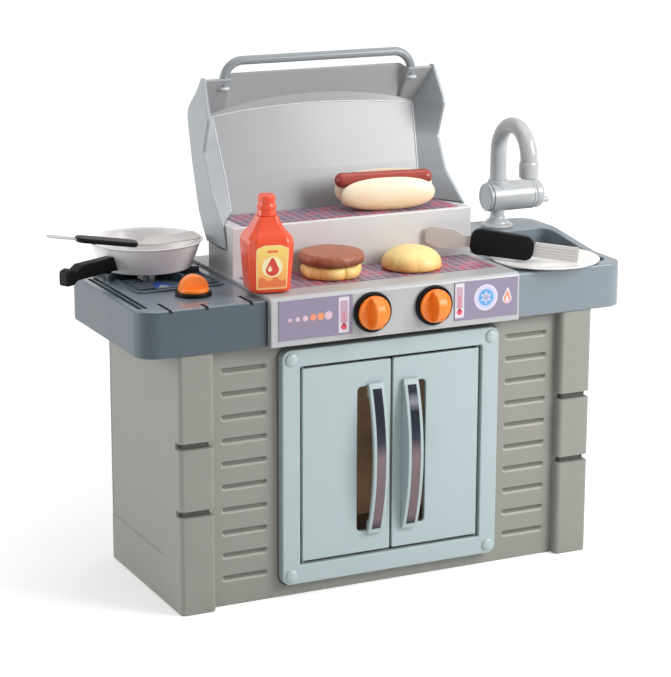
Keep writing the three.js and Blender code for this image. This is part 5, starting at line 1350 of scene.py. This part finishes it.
disc_x, disc_z, flame_x = 162, 478, 202
prints = strip_print(-108, -89.5, 446, 505) + strip_print(104.2, 121, 448, 506)
prints += [printed(circle(3.1 + 0.75 * i, 28), 1, mark, -194 + 13.6 * i, 476 + 0.3 * i)
           for i, mark in enumerate((3, 3, 3, 4, 4, 3))]
prints += [printed(circle(radius, steps), layer, mark, disc_x, disc_z)
           for radius, steps, layer, mark in ((22, 56, 1, 0), (19, 56, 2, 5), (14, 48, 3, 6))]
prints += [printed(flame_points(wide, tall), layer, mark, flame_x, height)
           for wide, tall, layer, mark, height in (
               (9, 27, 1, 0, 474), (6.6, 20, 2, 4, 473), (3.4, 11, 3, 0, 471))]
prints += [printed(flame_points(3, 10), 4, 5).moved(z=5).turned(60 * i, "Y").moved(disc_x, 0, disc_z)
           for i in range(6)]
print_films = [plastic(f"{name} print", code) for name, code in (
    ("White", "d8d1dc"), ("Rose", "bda0b0"), ("Red", "d0475a"), ("Pink", "d9b9c6"), ("Warm", "e8916a"),
    ("Lilac", "c3c4e2"), ("Blue", "5b9fd2"), ("Column", "cf7d8e"))]
control_face = room("control_label_left")[0].y
piece("control_prints", joined(*prints).moved(0, control_face), "base", print_films, sharp=20)
flame = joined(*(loft([level(points, 0), level(points, top)]).marked(mark) for points, top, mark in (
    (flame_points(26, 74), 0.5, 0), (flame_points(15, 44) - np.array((0, 6)), 0.8, 1))))
flame_films = [plastic("Flame print", "4a6cc0", drift=0.3), plastic("Flame heart print", "b9c3c9", drift=0.2)]
piece("burner_flame", flame.moved(-338, -8, burner_face - 0.1), "base", flame_films,
      "burner_label")

# %% [markdown]
# A studio floor should be so pale that only the soft shadow under the toy shows. The floor's own
# colour does most of that, and rays from the camera see a little extra light on it, which grows with
# the distance from the toy, where the lamps no longer reach. The sky behind it is plain white.
# %% Floor and light
def seen(tree):
    """1 for camera, glossy and transmission rays, 0 for the rays that carry light."""
    rays = node(tree, "LightPath").outputs
    first = node(tree, "Math", {0: rays["Is Camera Ray"], 1: rays["Is Glossy Ray"]}, operation="MAXIMUM")
    return node(tree, "Math", {0: first, 1: rays["Is Transmission Ray"]}, operation="MAXIMUM")


size = 9.0
mesh = bpy.data.meshes.new("studio_floor")
mesh.from_pydata([(-size, -size, 0), (size, -size, 0), (size, size, 0), (-size, size, 0)], [], [(0, 1, 2, 3)])
material, tree, place = new_finish("Studio floor")
away = node(tree, "VectorMath", {0: place}, operation="LENGTH").outputs["Value"]
lift = node(tree, "Math", {0: seen(tree), 1: ranged(tree, away, 0.36, 0.75, 0.5, 3.0)}, operation="MULTIPLY")
mesh.materials.append(shaded(material, {
    0: node(tree, "BsdfDiffuse", {"Color": (0.86, 0.86, 0.86, 1)}),
    1: node(tree, "Emission", {"Color": (1, 1, 1, 1), "Strength": lift})}, "AddShader"))
placed("studio_floor", mesh)


def lamp(name, energy, size, place):
    """A square soft box at a place in metres, turned to look at the toy's middle."""
    data = bpy.data.lights.new(name, "AREA")
    data.energy, data.size = energy, size
    made = placed(name, data)
    made.location = place
    made.rotation_euler = (Vector((0, 0, 0.4)) - Vector(place)).to_track_quat("-Z", "Y").to_euler()


lamp("Key", 52, 1.2, (1.5, -1.6, 1.55))
lamp("Side", 29.5, 1.5, (-2.6, 0.7, 1.0))
lamp("Top", 20, 2.0, (0.2, 0.1, 2.7))
world = bpy.data.worlds.new("Studio")
scene.world = world
world.use_nodes = True
tree = world.node_tree
tree.nodes.clear()
sky = node(tree, "Background", {"Color": (1, 1, 1, 1), "Strength": ranged(tree, seen(tree), 0.36, 1.0)})
node(tree, "OutputWorld", {"Surface": sky})
scene.view_settings.view_transform = "Standard"
print("three lamps light the toy on its floor")
